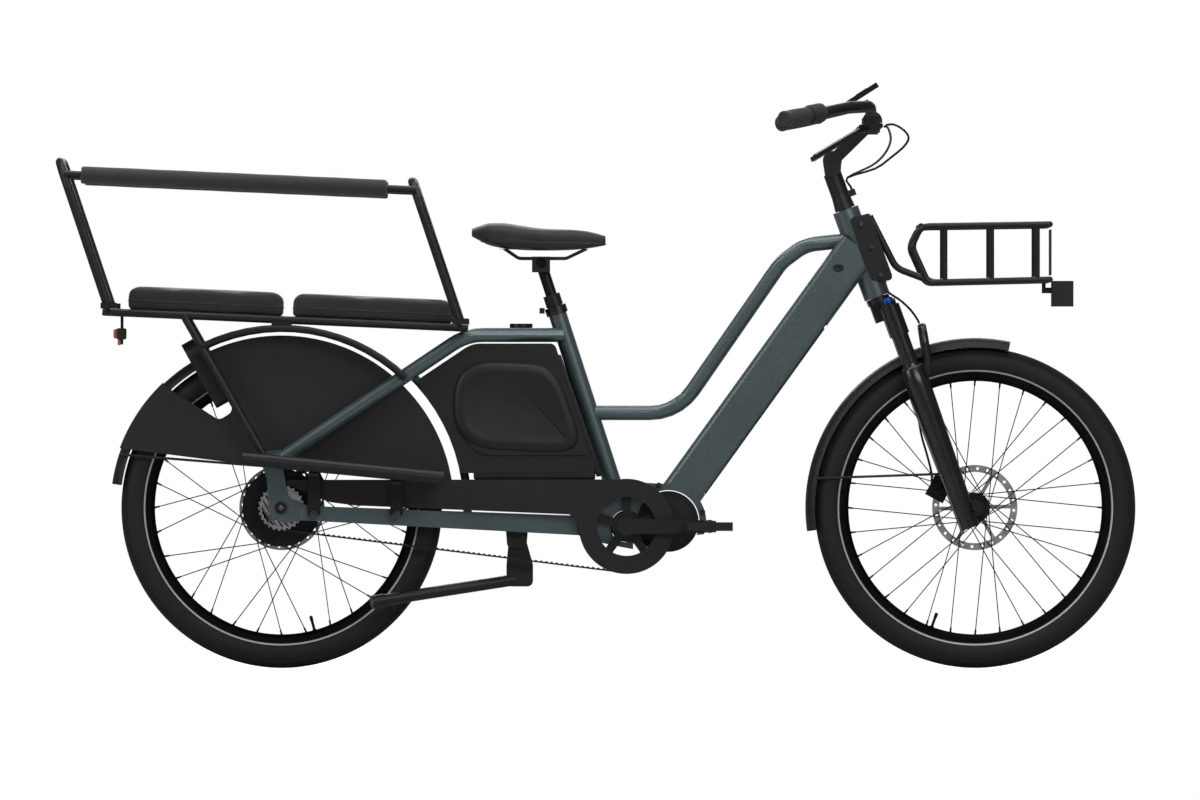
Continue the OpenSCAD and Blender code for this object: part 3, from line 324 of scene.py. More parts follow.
def finish(name, colour, second, rough, texture=grain, scale=1800, depth=0.0001,
           patch=14, amount=0.6, **fixed):
    material = bpy.data.materials.new(name)
    material.use_nodes = True
    tree = material.node_tree
    shader = tree.nodes["Principled BSDF"]
    shader.inputs["Specular IOR Level"].default_value = 0.3
    for key, value in fixed.items():
        shader.inputs[key.replace("_", " ")].default_value = value
    skin = node(tree, "ShaderNodeGroup", node_tree=texture)
    skin.inputs["Scale"].default_value = scale
    skin.inputs["Depth"].default_value = depth
    worn = node(tree, "ShaderNodeGroup", node_tree=marks)
    worn.inputs["Scale"].default_value = patch
    worn.inputs["Amount"].default_value = amount
    tree.links.new(mixed(tree, worn.outputs["Mask"], colour, second), shader.inputs["Base Color"])
    tree.links.new(ranged(tree, worn.outputs["Mask"], *rough), shader.inputs["Roughness"])
    tree.links.new(skin.outputs["Normal"], shader.inputs["Normal"])
    material.diffuse_color = (*colour, 1)
    return material


def dress(material, *names):
    for name in names:
        cad_nodes[name].data.materials.clear()
        cad_nodes[name].data.materials.append(material)
    print(material.name, "on", len(names), "nodes")


# %% [markdown]
# ## Satin paint on the frame
# The frame tubes are a dark grey green with fine metal flake under a satin clear coat. The
# flake is a cell texture whose cells each get their own brightness, so the tubes glitter a
# little where the light grazes them. A coat on the shader gives the soft clear layer.

# %% Frame paint
frame_paint = finish("frame paint", (0.062, 0.088, 0.094), (0.074, 0.102, 0.108), (0.36, 0.46),
                     scale=900, depth=0.00004, patch=6, amount=0.7,
                     Metallic=0.55, Coat_Weight=0.55, Coat_Roughness=0.22)
tree = frame_paint.node_tree
place = tree.nodes.new("ShaderNodeTexCoord")
flake = node(tree, "ShaderNodeTexVoronoi", [("Vector", place.outputs["Object"])], Scale=1500)
glint = node(tree, "ShaderNodeMapRange", [("Value", flake.outputs["Color"])])
glint.inputs["From Min"].default_value = 0.72
base = tree.nodes["Principled BSDF"].inputs["Base Color"].links[0].from_socket
tree.links.new(mixed(tree, glint.outputs["Result"], base, (0.20, 0.25, 0.26)),
               tree.nodes["Principled BSDF"].inputs["Base Color"])
dress(frame_paint, "head_tube", "down_tube", "top_tube", "seat_tube", "rear_triangle",
      "motor_bracket")

# %% [markdown]
# ## Black metal
# Racks, stem, cranks and stand are powder coated, which has a fine orange-peel skin. The fork
# is smoother and glossier, and the machined parts are anodised. All three are nearly black,
# so what tells them apart is how sharp their highlights are.

# %% Powder coat, fork paint and anodised alloy
black_paint = finish("black paint", (0.0063, 0.0063, 0.0069), (0.0102, 0.0102, 0.0108),
                     (0.40, 0.52), scale=1100, depth=0.00012, patch=9)
fork_paint = finish("fork paint", (0.0054, 0.0054, 0.0057), (0.0084, 0.0084, 0.009), (0.26, 0.36),
                    scale=700, depth=0.00004, Coat_Weight=0.4, Coat_Roughness=0.2)
motor_case = finish("motor casing", (0.0078, 0.0078, 0.0084), (0.012, 0.012, 0.0126), (0.48, 0.6),
                    scale=2300, depth=0.00018, patch=20)
dark_alloy = finish("dark alloy", (0.016, 0.016, 0.018), (0.028, 0.028, 0.031), (0.30, 0.44),
                    texture=brushed, scale=1200, depth=0.00004, patch=30, Metallic=0.85)
dark_steel = finish("dark steel", (0.035, 0.035, 0.038), (0.06, 0.06, 0.064), (0.30, 0.5),
                    texture=brushed, scale=1500, depth=0.00003, patch=60, Metallic=1.0)
dress(black_paint, "rear_rack", "safety_rail", "ring_lock", "footboards", "front_carrier",
      "stand_bracket", "stem_column", "stem_arm", "handlebar", "crankset", "seatpost",
      "kickstand")
dress(fork_paint, "fork_upper", "fork_lowers")
dress(motor_case, "motor_housing")
dress(dark_alloy, "rear_caliper", "brake_bodies", "front_caliper", "front_hub", "rear_hub",
      "suspension_shaft")
dress(dark_steel, "rear_axle", "frame_bolts")

# %% Bright metal: rotors, cog, levers, rims and spokes
rotor_steel = finish("rotor steel", (0.50, 0.50, 0.51), (0.62, 0.62, 0.62), (0.22, 0.36),
                     texture=brushed, scale=2400, depth=0.00005, patch=50, Metallic=1.0)
cog_steel = finish("cog steel", (0.60, 0.60, 0.59), (0.72, 0.72, 0.71), (0.16, 0.30),
                   texture=brushed, scale=1800, depth=0.00003, patch=80, Metallic=1.0)
lever_alloy = finish("lever alloy", (0.05, 0.05, 0.054), (0.08, 0.08, 0.085), (0.30, 0.42),
                     texture=brushed, scale=1500, depth=0.00003, Metallic=0.9)
rim_black = finish("rim", (0.0048, 0.0048, 0.0051), (0.0084, 0.0084, 0.009), (0.26, 0.4),
                   texture=brushed, scale=1500, depth=0.00003, Metallic=0.8)
spoke_black = finish("spoke", (0.0036, 0.0036, 0.0036), (0.0072, 0.0072, 0.0072), (0.3, 0.42),
                     depth=0.00002, Metallic=0.6)
bolt_steel = finish("bolt steel", (0.10, 0.10, 0.105), (0.15, 0.15, 0.155), (0.22, 0.36),
                    texture=brushed, scale=2000, depth=0.00003, patch=120, Metallic=1.0)
dress(rotor_steel, "front_rotor", "rear_rotor")
dress(cog_steel, "rear_cog")
dress(lever_alloy, "brake_lever_right", "brake_lever_left")
dress(rim_black, "front_rim", "rear_rim")
dress(spoke_black, "front_spokes", "rear_spokes")

# %% [markdown]
# ## Plastic and rubber
# Covers are injection moulded with a pebbled skin that scatters light, so their highlights are
# broad and grey. The wheel skirts are larger and a shade lighter. Rubber parts are duller
# still, and the hoses a little glossier.

# %% Plastics
black_plastic = finish("black plastic", (0.0075, 0.0075, 0.0081), (0.012, 0.012, 0.0126),
                       (0.42, 0.56), texture=pebble, scale=1100, depth=0.00016, patch=7)
skirt_plastic = finish("skirt plastic", (0.01178, 0.01178, 0.0124), (0.01612, 0.01612, 0.01674),
                       (0.46, 0.58), texture=pebble, scale=900, depth=0.00018, patch=5)
gloss_black = finish("display case", (0.006, 0.006, 0.007), (0.01, 0.01, 0.011), (0.10, 0.22),
                     depth=0.00001, Coat_Weight=0.6, Coat_Roughness=0.08)
hose_black = finish("hose", (0.0036, 0.0036, 0.0039), (0.0072, 0.0072, 0.0072), (0.30, 0.42),
                    depth=0.00003, patch=40)
belt_rubber = finish("belt rubber", (0.0042, 0.0042, 0.00432), (0.0078, 0.0078, 0.0078),
                     (0.55, 0.7), scale=2500, depth=0.0001, patch=30)
grip_rubber = finish("grip rubber", (0.01364, 0.01364, 0.01364), (0.02108, 0.02108, 0.02108),
                     (0.62, 0.78), texture=pebble, scale=1500, depth=0.00025, patch=30,
                     Sheen_Weight=0.15, Sheen_Roughness=0.5)
dress(black_plastic, "belt_guard", "side_boxes", "rear_mudguard", "headlight",
      "front_mudguard", "pedal_right", "pedal_left", "battery_pack", "tail_light")
dress(skirt_plastic, "wheel_skirts")
dress(gloss_black, "display")
dress(hose_black, "control_hoses", "front_brake_hose")
dress(belt_rubber, "drive_belt")
dress(grip_rubber, "grips", "twist_shifter", "assist_rocker")

# %% [markdown]
# ## Foam, vinyl and saddle cover
# The rail sleeves are closed-cell foam, which shows tiny pits. The pads are covered in soft
# vinyl with a leather-like pebble and a low sheen, and the saddle in a tougher grained skin.

# %% Soft finishes
foam_black = finish("foam", (0.0108, 0.0108, 0.0111), (0.0162, 0.0162, 0.0168), (0.78, 0.92),
                    texture=pebble, scale=900, depth=0.0006, patch=22,
                    Sheen_Weight=0.25, Sheen_Roughness=0.6)
pad_vinyl = finish("pad cover", (0.01178, 0.01178, 0.01209), (0.01736, 0.01736, 0.01798),
                   (0.44, 0.58), texture=pebble, scale=620, depth=0.0004, patch=9,
                   Sheen_Weight=0.12, Sheen_Roughness=0.5)
saddle_skin = finish("saddle cover", (0.01364, 0.01364, 0.01426), (0.01984, 0.01984, 0.02046),
                     (0.48, 0.64), texture=pebble, scale=800, depth=0.0003, patch=14,
                     Sheen_Weight=0.1, Sheen_Roughness=0.5)
dress(foam_black, "foam_sleeves")
dress(pad_vinyl, "seat_pads")
dress(black_paint, "saddle")

# %% [markdown]
# ## Tyre rubber with its reflective line
# A thin reflective ring runs round each sidewall, low down by the rim. The torus carries a UV
# map whose second coordinate goes round the tyre's own section and is a half at the middle of
# the tread, so the ring is a fixed distance either side of that. Fine mould lines circle the
# sidewall beside it.

# %% Tyre finish
tyre_rubber = finish("tyre", (0.0054, 0.0054, 0.0054), (0.0096, 0.0096, 0.0093), (0.62, 0.80),
                     scale=2600, depth=0.00016, patch=16)
tree = tyre_rubber.node_tree
shader = tree.nodes["Principled BSDF"]
around = tree.nodes.new("ShaderNodeUVMap")
split = node(tree, "ShaderNodeSeparateXYZ", [("Vector", around.outputs["UV"])])
from_crown = node(tree, "ShaderNodeMath", [(0, split.outputs["Y"])], operation="SUBTRACT")
from_crown.inputs[1].default_value = 0.5
side = node(tree, "ShaderNodeMath", [(0, from_crown.outputs[0])], operation="ABSOLUTE")
ring = node(tree, "ShaderNodeMath", [(0, side.outputs[0])], operation="COMPARE")
ring.inputs[1].default_value = 0.368
ring.inputs[2].default_value = 0.0125
base = shader.inputs["Base Color"].links[0].from_socket
tree.links.new(mixed(tree, ring.outputs[0], base, (0.42, 0.42, 0.43)), shader.inputs["Base Color"])
rings = node(tree, "ShaderNodeMath", [(0, side.outputs[0])], operation="MULTIPLY")
rings.inputs[1].default_value = 420
wave = node(tree, "ShaderNodeMath", [(0, rings.outputs[0])], operation="SINE")
mould = node(tree, "ShaderNodeBump", [("Height", wave.outputs[0]),
                                      ("Normal", shader.inputs["Normal"].links[0].from_socket)],
             Strength=0.25, Distance=0.0002)
tree.links.new(mould.outputs["Normal"], shader.inputs["Normal"])

# %% [markdown]
# ## Tyres
# The tread is a fine lattice of small diamonds. A torus is a grid of four-sided faces, so its
# tread band is poked and the grid's own edges are dissolved, which leaves diamonds. Each one
# is inset and raised a little, and the grooves between them come by themselves.

# %% One tyre, modelled once
def tyre_section_angle(point):
    return math.atan2(abs(point.y), math.hypot(point.x, point.z) - tyre_mid)


low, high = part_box("front_tyre")
tyre_half = (high.y - low.y) / 2
tyre_mid = (high.x - low.x) / 2 - tyre_half
block_height = 0.0011
bpy.ops.object.select_all(action="DESELECT")
bpy.ops.mesh.primitive_torus_add(
    major_radius=tyre_mid, minor_radius=tyre_half - block_height, major_segments=216,
    minor_segments=36, rotation=(math.pi / 2, 0, 0), generate_uvs=True)
tyre = bpy.context.object
bpy.ops.object.transform_apply(rotation=True)
tread_limit = math.radians(58)
select_faces(tyre, lambda c, n: tyre_section_angle(c) < tread_limit)
bpy.ops.mesh.poke()
mesh = bmesh.from_edit_mesh(tyre.data)
for edge in mesh.edges:
    edge.select = False
bpy.ops.mesh.select_mode(type="EDGE")
for edge in mesh.edges:
    four_sided = all(len(v.link_edges) > 4 for v in edge.verts)
    inside = len(edge.link_faces) == 2 and all(len(f.verts) == 3 for f in edge.link_faces)
    edge.select = four_sided and inside
mesh.select_flush_mode()
bmesh.update_edit_mesh(tyre.data)
bpy.ops.mesh.dissolve_edges(use_verts=False, use_face_split=False)
bpy.ops.object.mode_set(mode="OBJECT")
blocks = select_faces(tyre, lambda c, n: tyre_section_angle(c) < tread_limit)
bpy.ops.mesh.inset(thickness=0.0008, depth=block_height, use_individual=True)
bpy.ops.object.mode_set(mode="OBJECT")
bpy.ops.object.shade_smooth_by_angle(angle=math.radians(30))
print("tread blocks:", blocks)

# %% Front and rear tyre
rear_copy = copy_of(tyre)
tyre.location, rear_copy.location = front_axle, rear_axle
hand_over(tyre, "front_tyre_tread", "front_wheel", "tyre", tyre_rubber, "front_tyre")
hand_over(rear_copy, "rear_tyre_tread", "rear_wheel", "tyre", tyre_rubber, "rear_tyre")

# %% [markdown]
# ## Passenger pads
# The two pads are foam blocks under a stretched cover, crowned on top and drawn in at the
# corners. Blender's cloth with a little pressure swells a remeshed copy of the CAD block, and
# how far a point may move is capped, so the pad stays in the room it has.

# %% Swell a pad with cloth
def swollen(obj, cap, voxel=0.006, pressure=4.0, frames=20):
    merged(obj)
    bpy.ops.object.mode_set(mode="OBJECT")
    obj.data.remesh_voxel_size = voxel
    bpy.ops.object.voxel_remesh()
    start = [v.co.copy() for v in obj.data.vertices]
    cloth = obj.modifiers.new("pressure", "CLOTH")
    cloth.settings.use_pressure = True
    cloth.settings.uniform_pressure_force = pressure
    cloth.settings.effector_weights.gravity = 0
    cloth.settings.tension_stiffness = cloth.settings.compression_stiffness = 12
    for number in range(1, frames + 1):
        bpy.context.scene.frame_set(number)
    bpy.ops.object.modifier_apply(modifier="pressure")
    bpy.context.scene.frame_set(1)
    for vertex, old in zip(obj.data.vertices, start):
        moved = vertex.co - old
        if moved.length > cap:
            vertex.co = old + moved * (cap / moved.length)
    relax = obj.modifiers.new("relax", "SMOOTH")
    relax.factor, relax.iterations = 0.5, 4
    bpy.ops.object.modifier_apply(modifier="relax")
    round_up = obj.modifiers.new("round", "SUBSURF")
    round_up.levels = round_up.render_levels = 1
    bpy.ops.object.modifier_apply(modifier="round")
    bpy.ops.object.shade_smooth()
    return obj


def loose_parts(obj):
    merged(obj)
    bpy.ops.mesh.separate(type="LOOSE")
    bpy.ops.object.mode_set(mode="OBJECT")
    return sorted(bpy.context.selected_objects, key=lambda o: min(v.co.x for v in o.data.vertices))


def piping(pad, height, radius, tilt, grow=1.0):
    """A cord of piping where a level cut goes through the pad."""
    line = copy_of(pad)
    centre = sum((v.co for v in line.data.vertices), Vector()) / len(line.data.vertices)
    point = Vector((centre.x, centre.y, height))
    edit_all(line)
    bpy.ops.mesh.bisect(plane_co=point, plane_no=(math.sin(tilt), 0, math.cos(tilt)),
                        clear_inner=True, clear_outer=True)
    bpy.ops.mesh.select_all(action="SELECT")
    bpy.ops.mesh.remove_doubles(threshold=0.001)
    bpy.ops.mesh.vertices_smooth(factor=0.5, repeat=4)
    bpy.ops.object.mode_set(mode="OBJECT")
    for vertex in line.data.vertices:
        vertex.co.x = centre.x + (vertex.co.x - centre.x) * grow
        vertex.co.y = centre.y + (vertex.co.y - centre.y) * grow
    bpy.ops.object.convert(target="CURVE")
    line.data.bevel_depth = radius
    line.data.bevel_resolution = 2
    bpy.ops.object.convert(target="MESH")
    bpy.ops.object.shade_smooth()
    return line


deck_tilt = math.radians(2.55)
for number, pad in enumerate(loose_parts(copy_of(cad_nodes["seat_pads"]))):
    middle_of = (Vector(pad.bound_box[0]) + Vector(pad.bound_box[6])) / 2
    for vertex in pad.data.vertices:
        offset = vertex.co - middle_of
        vertex.co = middle_of + Vector((offset.x * 0.985, offset.y * 0.965, offset.z * 0.982))
    swollen(pad, cap=0.0055)
    place_name = ("rear", "front")[number]
    edge = piping(pad, middle_of.z - 0.004, 0.0013, deck_tilt, 1.001)
    hand_over(pad, place_name + "_pad", "frame", "pad_cover", pad_vinyl, "seat_pads")
    hand_over(edge, place_name + "_pad_piping", "frame", "pad_cover", pad_vinyl)

# %% [markdown]
# ## Foam sleeves on the rail
# A slit foam tube is pushed over each side rail. It is turned, with soft rounded ends, and its
# glued slit shows as a shallow groove underneath.

# %% Foam sleeves
low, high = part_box("foam_sleeves")
radius = 0.0185
for side_name, side_y in (("right", low.y + radius), ("left", high.y - radius)):
    start = Vector((low.x + 0.001, side_y, high.z - radius))
    stop = Vector((high.x - 0.001, side_y, low.z + radius))
    length = (stop - start).length
    ends = [(0, 0.0135), (0.0008, 0.0165), (0.003, 0.0180), (0.008, radius)]
    body = [(length * k / 12, radius + 0.0002 * (-1) ** k) for k in range(1, 12)]
    stations = ends + body + [(length - d, r) for d, r in reversed(ends)]
    sleeve = turned(stations, start, stop - start, 40)
    select_faces(sleeve, lambda c, n: n.z < -0.985 and start.x + 0.02 < c.x < stop.x - 0.02)
    bpy.ops.mesh.inset(thickness=0.0006, depth=-0.0012)
    bpy.ops.object.mode_set(mode="OBJECT")
    hand_over(sleeve, side_name + "_foam_sleeve", "frame", "foam", foam_black, "foam_sleeves")

# %% [markdown]
# ## Handlebar grips
# Each grip is soft rubber with a ribbed middle and a hard collar at the end. The right one is
# shorter, because the twist shifter takes its inner part, which has its own coarser ribs.

# %% Grips and shifter
bar_centre = Vector((0.57816, 0, 1.152683))


def grip_line(sign):
    """The bar's straight end: where it begins, and the way out to its tip."""
    inner = bar_centre + Vector((-0.110, -0.225 * sign, 0.015))
    return inner, bar_centre + Vector((-0.188, -0.325 * sign, 0)) - inner


for side_name, sign in (("right", 1), ("left", -1)):
    inner, along = grip_line(sign)
    whole = along.length + 0.003
    begin = 0.046 if sign == 1 else 0.0
    stations = [(begin, 0.0125), (begin + 0.0005, 0.0160), (begin + 0.003, 0.0175),
                (begin + 0.006, 0.0172)]
    ribs = int((whole - begin - 0.02) / 0.004)
    for k in range(ribs):
        d = begin + 0.008 + k * 0.004
        swell = 0.0008 * math.sin(math.pi * k / ribs)
        stations += [(d, 0.0160 + swell), (d + 0.0012, 0.0167 + swell),
                     (d + 0.0026, 0.0167 + swell)]
    stations += [(whole - 0.008, 0.0170), (whole - 0.006, 0.0175), (whole - 0.0015, 0.0172),
                 (whole, 0.0150), (whole - 0.0005, 0.006)]
    grip = turned(stations, inner, along, 40)
    hand_over(grip, side_name + "_grip", "cockpit", "grip_rubber", grip_rubber, "grips")
inner, along = grip_line(1)
stations = [(0.002, 0.0125), (0.0025, 0.0190), (0.004, 0.0205), (0.012, 0.0205), (0.013, 0.0192)]
for k in range(7):
    d = 0.0145 + k * 0.0038
    stations += [(d, 0.0188), (d + 0.001, 0.0202), (d + 0.0026, 0.0202)]
stations += [(0.0425, 0.0190), (0.0438, 0.0178), (0.044, 0.0125)]
shifter = turned(stations, inner, along, 40)
hand_over(shifter, "shifter_sleeve", "shifter", "grip_rubber", grip_rubber, "twist_shifter")

# %% [markdown]
# ## Toothed belt
# The belt is a smooth band with teeth on its inner side, one every 11 mm. The band is the CAD
# loop, and a single small bevelled tooth is modelled once and copied round the loop, each
# copy turned to stand on the band.

# %% Equal steps along a closed path
def path_steps(path):
    return [math.dist(a, b) for a, b in zip(path, path[1:] + path[:1])]


def spread_evenly(path, count):
    """Each point at an equal step, and the way the path runs there."""
    steps, ends = path_steps(path), path[1:] + path[:1]
    found, walked, k = [], 0.0, 0
    for i in range(count):
        wanted = i * sum(steps) / count
        while walked + steps[k] < wanted:
            walked += steps[k]
            k += 1
        (ax, az), (bx, bz) = path[k], ends[k]
        share = (wanted - walked) / steps[k]
        found.append(((ax + (bx - ax) * share, az + (bz - az) * share), (bx - ax, bz - az)))
    return found


# %% Belt teeth
wide, narrow = 0.0963, 0.0455
line = rear_axle - crank_axle
reach = math.hypot(line.x, line.z)
base_angle = math.atan2(-line.z, -line.x)
lean = math.acos((narrow - wide) / reach)
top_angle, low_angle = base_angle + lean, base_angle - lean
belt_points = []
for k in range(25):
    t = top_angle + k * (2 * math.pi - top_angle + low_angle) / 24
    belt_points.append((rear_axle.x + narrow * math.cos(t), rear_axle.z + narrow * math.sin(t)))
for k in range(49):
    t = low_angle + k * (top_angle - low_angle) / 48
    belt_points.append((crank_axle.x + wide * math.cos(t), crank_axle.z + wide * math.sin(t)))
tooth_pitch, belt_lane = 0.011, -0.050
tooth_count = round(sum(path_steps(belt_points)) / tooth_pitch)
tooth = block((0.0055, 0.0105, 0.0026), (0, 0, 0), bevel=0.0009, segments=1)
teeth = []
for (x, z), (run_x, run_z) in spread_evenly(belt_points, tooth_count):
    run = Vector((run_x, 0, run_z)).normalized()
    inward = Vector((-run.z, 0, run.x))
    centre = Vector((x, belt_lane, z)) + inward * 0.0014
    turn = Matrix((run, Vector((0, 1, 0)), inward)).transposed().to_4x4()
    one = copy_of(tooth)
    one.data.transform(Matrix.Translation(centre) @ turn)
    teeth.append(one)
bpy.data.objects.remove(tooth)
band = copy_of(cad_nodes["drive_belt"])
belt = joined([band] + teeth, "belt")
hand_over(belt, "toothed_belt", "frame", "belt_rubber", belt_rubber, "drive_belt")
print("belt teeth:", tooth_count)

# %% [markdown]
# ## Saddle
# A comfort saddle is a moulded shell under thick foam: wide and raised at the back, dipped in
# the middle, with a long nose and a relief channel. A cube is subdivided into a lattice, and
# each point is carried to the saddle's own width and height at its place along the length.


def along_saddle(t, values):
    """Smooth value at t from 0 to 1 through evenly spaced values."""
    place = t * (len(values) - 1)
    k = min(int(place), len(values) - 2)
    f = place - k
    f = f * f * (3 - 2 * f)
    return values[k] * (1 - f) + values[k + 1] * f


half_widths = [0.052, 0.074, 0.079, 0.072, 0.056, 0.042, 0.034, 0.029, 0.024]
tops = [0.928, 0.9395, 0.9385, 0.9330, 0.9275, 0.9255, 0.9250, 0.9215, 0.9130]
bottoms = [0.908, 0.890, 0.884, 0.881, 0.880, 0.880, 0.881, 0.884, 0.889]
bpy.ops.object.select_all(action="DESELECT")
bpy.ops.mesh.primitive_cube_add(size=2)
cover = bpy.context.object
bpy.ops.object.mode_set(mode="EDIT")
bpy.ops.mesh.subdivide(number_cuts=15)
bpy.ops.object.mode_set(mode="OBJECT")
for vertex in cover.data.vertices:
    u, v, w = vertex.co
    t = (u + 1) / 2
    flat = 1 - 0.35 * abs(u) ** 6
    ring = max(abs(v), abs(w), 1e-6)
    squared = max((abs(v) ** 5 + abs(w) ** 5) ** 0.2 / ring, 1e-6)
    v, w = v / squared, w / squared
    half = along_saddle(t, half_widths) * flat
    top, bottom = along_saddle(t, tops), along_saddle(t, bottoms)
    crown = 0.006 * abs(v) ** 2.2 if w > 0 else 0
    channel = 0.0035 * math.exp(-(v / 0.16) ** 2) * (w > 0.2) * math.exp(-((t - 0.5) / 0.33) ** 4)
    height = (bottom + top) / 2 + w * (top - bottom) / 2 * (0.55 + 0.45 * flat)
    vertex.co = Vector((-0.266 + t * 0.282, v * half, height - crown - channel))
soften = cover.modifiers.new("soften", "SUBSURF")
soften.levels = soften.render_levels = 2
apply_all(cover)
bpy.ops.object.shade_smooth()
seam = piping(cover, 0.8965, 0.0011, 0.02, 1.002)
hand_over(cover, "saddle_cover", "seat", "saddle_cover", saddle_skin)
hand_over(seam, "saddle_edge", "seat", "saddle_cover", saddle_skin)

# %% Saddle rails and clamp, from the CAD node's lower part
rails = merged(copy_of(cad_nodes["saddle"]))
bpy.ops.mesh.select_all(action="SELECT")
bpy.ops.mesh.bisect(plane_co=(0, 0, 0.8835), plane_no=(0, 0, 1), clear_outer=True, use_fill=True)
bpy.ops.object.mode_set(mode="OBJECT")
bpy.ops.object.shade_smooth_by_angle(angle=math.radians(35))
hand_over(rails, "saddle_rails", "seat", "black_paint", black_paint, "saddle")

# %% [markdown]
# ## Raised panels on the side boxes
# Each storage box has a D-shaped raised field: narrow and round behind, squarer in front, with
# a soft shoulder all round. A circle is carried to that outline, extruded off the wall, and
# inset in steps that climb less and less, so the shoulder rolls over to a nearly flat middle.

# %% D-shaped panels
def panel_point(angle):
    c, s = math.cos(angle), math.sin(angle)
    power = 0.42 if c > 0 else 0.62
    reach = math.copysign(abs(c) ** power, c)
    z = math.copysign(abs(s) ** (0.5 if c > 0 else 0.75), s) * 0.092
    x = reach * (0.129 - 0.36 * z if c > 0 else 0.117)
    return x, z - 0.05 * x


edge_count = 96
panel_x, panel_z = -0.186, 0.551
edge = spread_evenly([panel_point(math.tau * k / 1440) for k in range(1440)], edge_count)
low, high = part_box("side_boxes")
for side_name, sign in (("right", -1), ("left", 1)):
    bpy.ops.object.select_all(action="DESELECT")
    bpy.ops.mesh.primitive_circle_add(vertices=edge_count, radius=1, fill_type="NGON")
    panel = bpy.context.object
    for vertex in panel.data.vertices:
        turn = math.atan2(vertex.co.y, vertex.co.x) / math.tau
        (x, z), _ = edge[round(turn * edge_count) % edge_count]
        vertex.co = Vector((x + panel_x, sign * (high.y - 0.004), z + panel_z))
    edit_all(panel)
    bpy.ops.mesh.extrude_region_move(TRANSFORM_OT_translate={"value": (0, sign * 0.0045, 0)})
    for width, climb in ((0.003, 0.0026), (0.006, 0.0030), (0.008, 0.0014), (0.006, -0.0012),
                         (0.005, -0.0016)):
        bpy.ops.mesh.inset(thickness=width, depth=0)
        bpy.ops.transform.translate(value=(0, sign * climb, 0))
    bpy.ops.object.mode_set(mode="OBJECT")
    bpy.ops.object.shade_smooth_by_angle(angle=math.radians(50))
    hand_over(panel, side_name + "_box_panel", "frame", "black_plastic", black_plastic)

# %% [markdown]
# ## Trim beside the boxes
# The box's walls run on to the seat tube and the belt guard, and its CAD solid stops a little
# short of both. Two rounded bars close that gap, one of them turned to the tube's slope.

# %% Trim strips
guard_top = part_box("belt_guard")[1].z
trim_depth, trim_width = 0.030, 0.014
corners = [v.co for v in cad_nodes["side_boxes"].data.vertices]
front_low = max((c for c in corners if c.z < low.z + 0.04), key=lambda c: c.x)
front_high = max((c for c in corners if c.z > high.z - 0.04), key=lambda c: c.x)
slope = math.atan2(front_high.x - front_low.x, front_high.z - front_low.z)
rear_end = -0.262
for side_name, sign in (("right", -1), ("left", 1)):
    across = sign * (high.y - 0.006 - trim_depth / 2)
    upright = block((trim_width, trim_depth, (front_high - front_low).length + 0.028),
                    ((front_low.x + front_high.x) / 2 + 0.004, across,
                     (front_low.z + front_high.z) / 2), slope, 0.004)
    sill_height = low.z - guard_top + 0.008
    sill = block((front_low.x - rear_end, trim_depth, sill_height),
                 ((front_low.x + rear_end) / 2, across, guard_top + sill_height / 2 - 0.002),
                 0, 0.004)
    hand_over(joined([upright, sill], side_name + "_trim"), side_name + "_box_trim", "frame",
              "black_plastic", black_plastic)
print("trim closes", round(low.z - guard_top, 4), "m above the guard")

# %% Cable port plugs on the down tube
low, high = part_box("down_tube")
for side_name, sign in (("right", -1), ("left", 1)):
    plug = turned([(-0.002, 0.0085), (0.0008, 0.0085), (0.0016, 0.0076), (0.0018, 0.0045),
                   (0.0012, 0.0030)], (0.506, sign * high.y, 0.843), (0, sign, 0), 28)
    for vertex in plug.data.vertices:
        vertex.co.x = 0.506 + (vertex.co.x - 0.506) * 1.35
    hand_over(plug, side_name + "_cable_port", "frame", "black_plastic", black_plastic)

# %% [markdown]
# ## Lights
# The rear light is a small red lens in a black housing with a reflector hung below it, and the
# front one a lens set in a square housing. Lenses are coloured plastic, which is glossy, so
# they get a coat on the shader and fine ribs from a bump. Each rib is also painted in a darker
# copy of the lens colour: painted shade along the ribs.

# %% Lens finishes
def lens(name, colour, roughness):
    material = bpy.data.materials.new(name)
    material.use_nodes = True
    tree = material.node_tree
    shader = tree.nodes["Principled BSDF"]
    shader.inputs["Coat Weight"].default_value = 0.8
    shader.inputs["Roughness"].default_value = roughness
    place = tree.nodes.new("ShaderNodeTexCoord")
    wave = node(tree, "ShaderNodeTexWave", [("Vector", place.outputs["Object"])],
                Scale=160, bands_direction="Z")
    ribs = node(tree, "ShaderNodeBump", [("Height", wave.outputs["Fac"])],
                Strength=0.5, Distance=0.0006)
    tree.links.new(ribs.outputs["Normal"], shader.inputs["Normal"])
    # Painted shade: the ribs get a copy of the lens colour at a third of its brightness, from the
    # same waves as the bump.
    rib_shade = tuple(c * 0.35 for c in colour)
    tree.links.new(mixed(tree, wave.outputs["Fac"], colour, rib_shade), shader.inputs["Base Color"])
    return material


red_lens = lens("red lens", (0.62, 0.03, 0.012), 0.14)
amber_lens = lens("amber lens", (0.75, 0.16, 0.02), 0.16)
clear_lens = lens("clear lens", (0.55, 0.57, 0.58), 0.08)
blue_cap = finish("blue cap", (0.01, 0.06, 0.26), (0.02, 0.09, 0.34), (0.25, 0.4),
                  texture=brushed, depth=0.00003, Metallic=0.8)

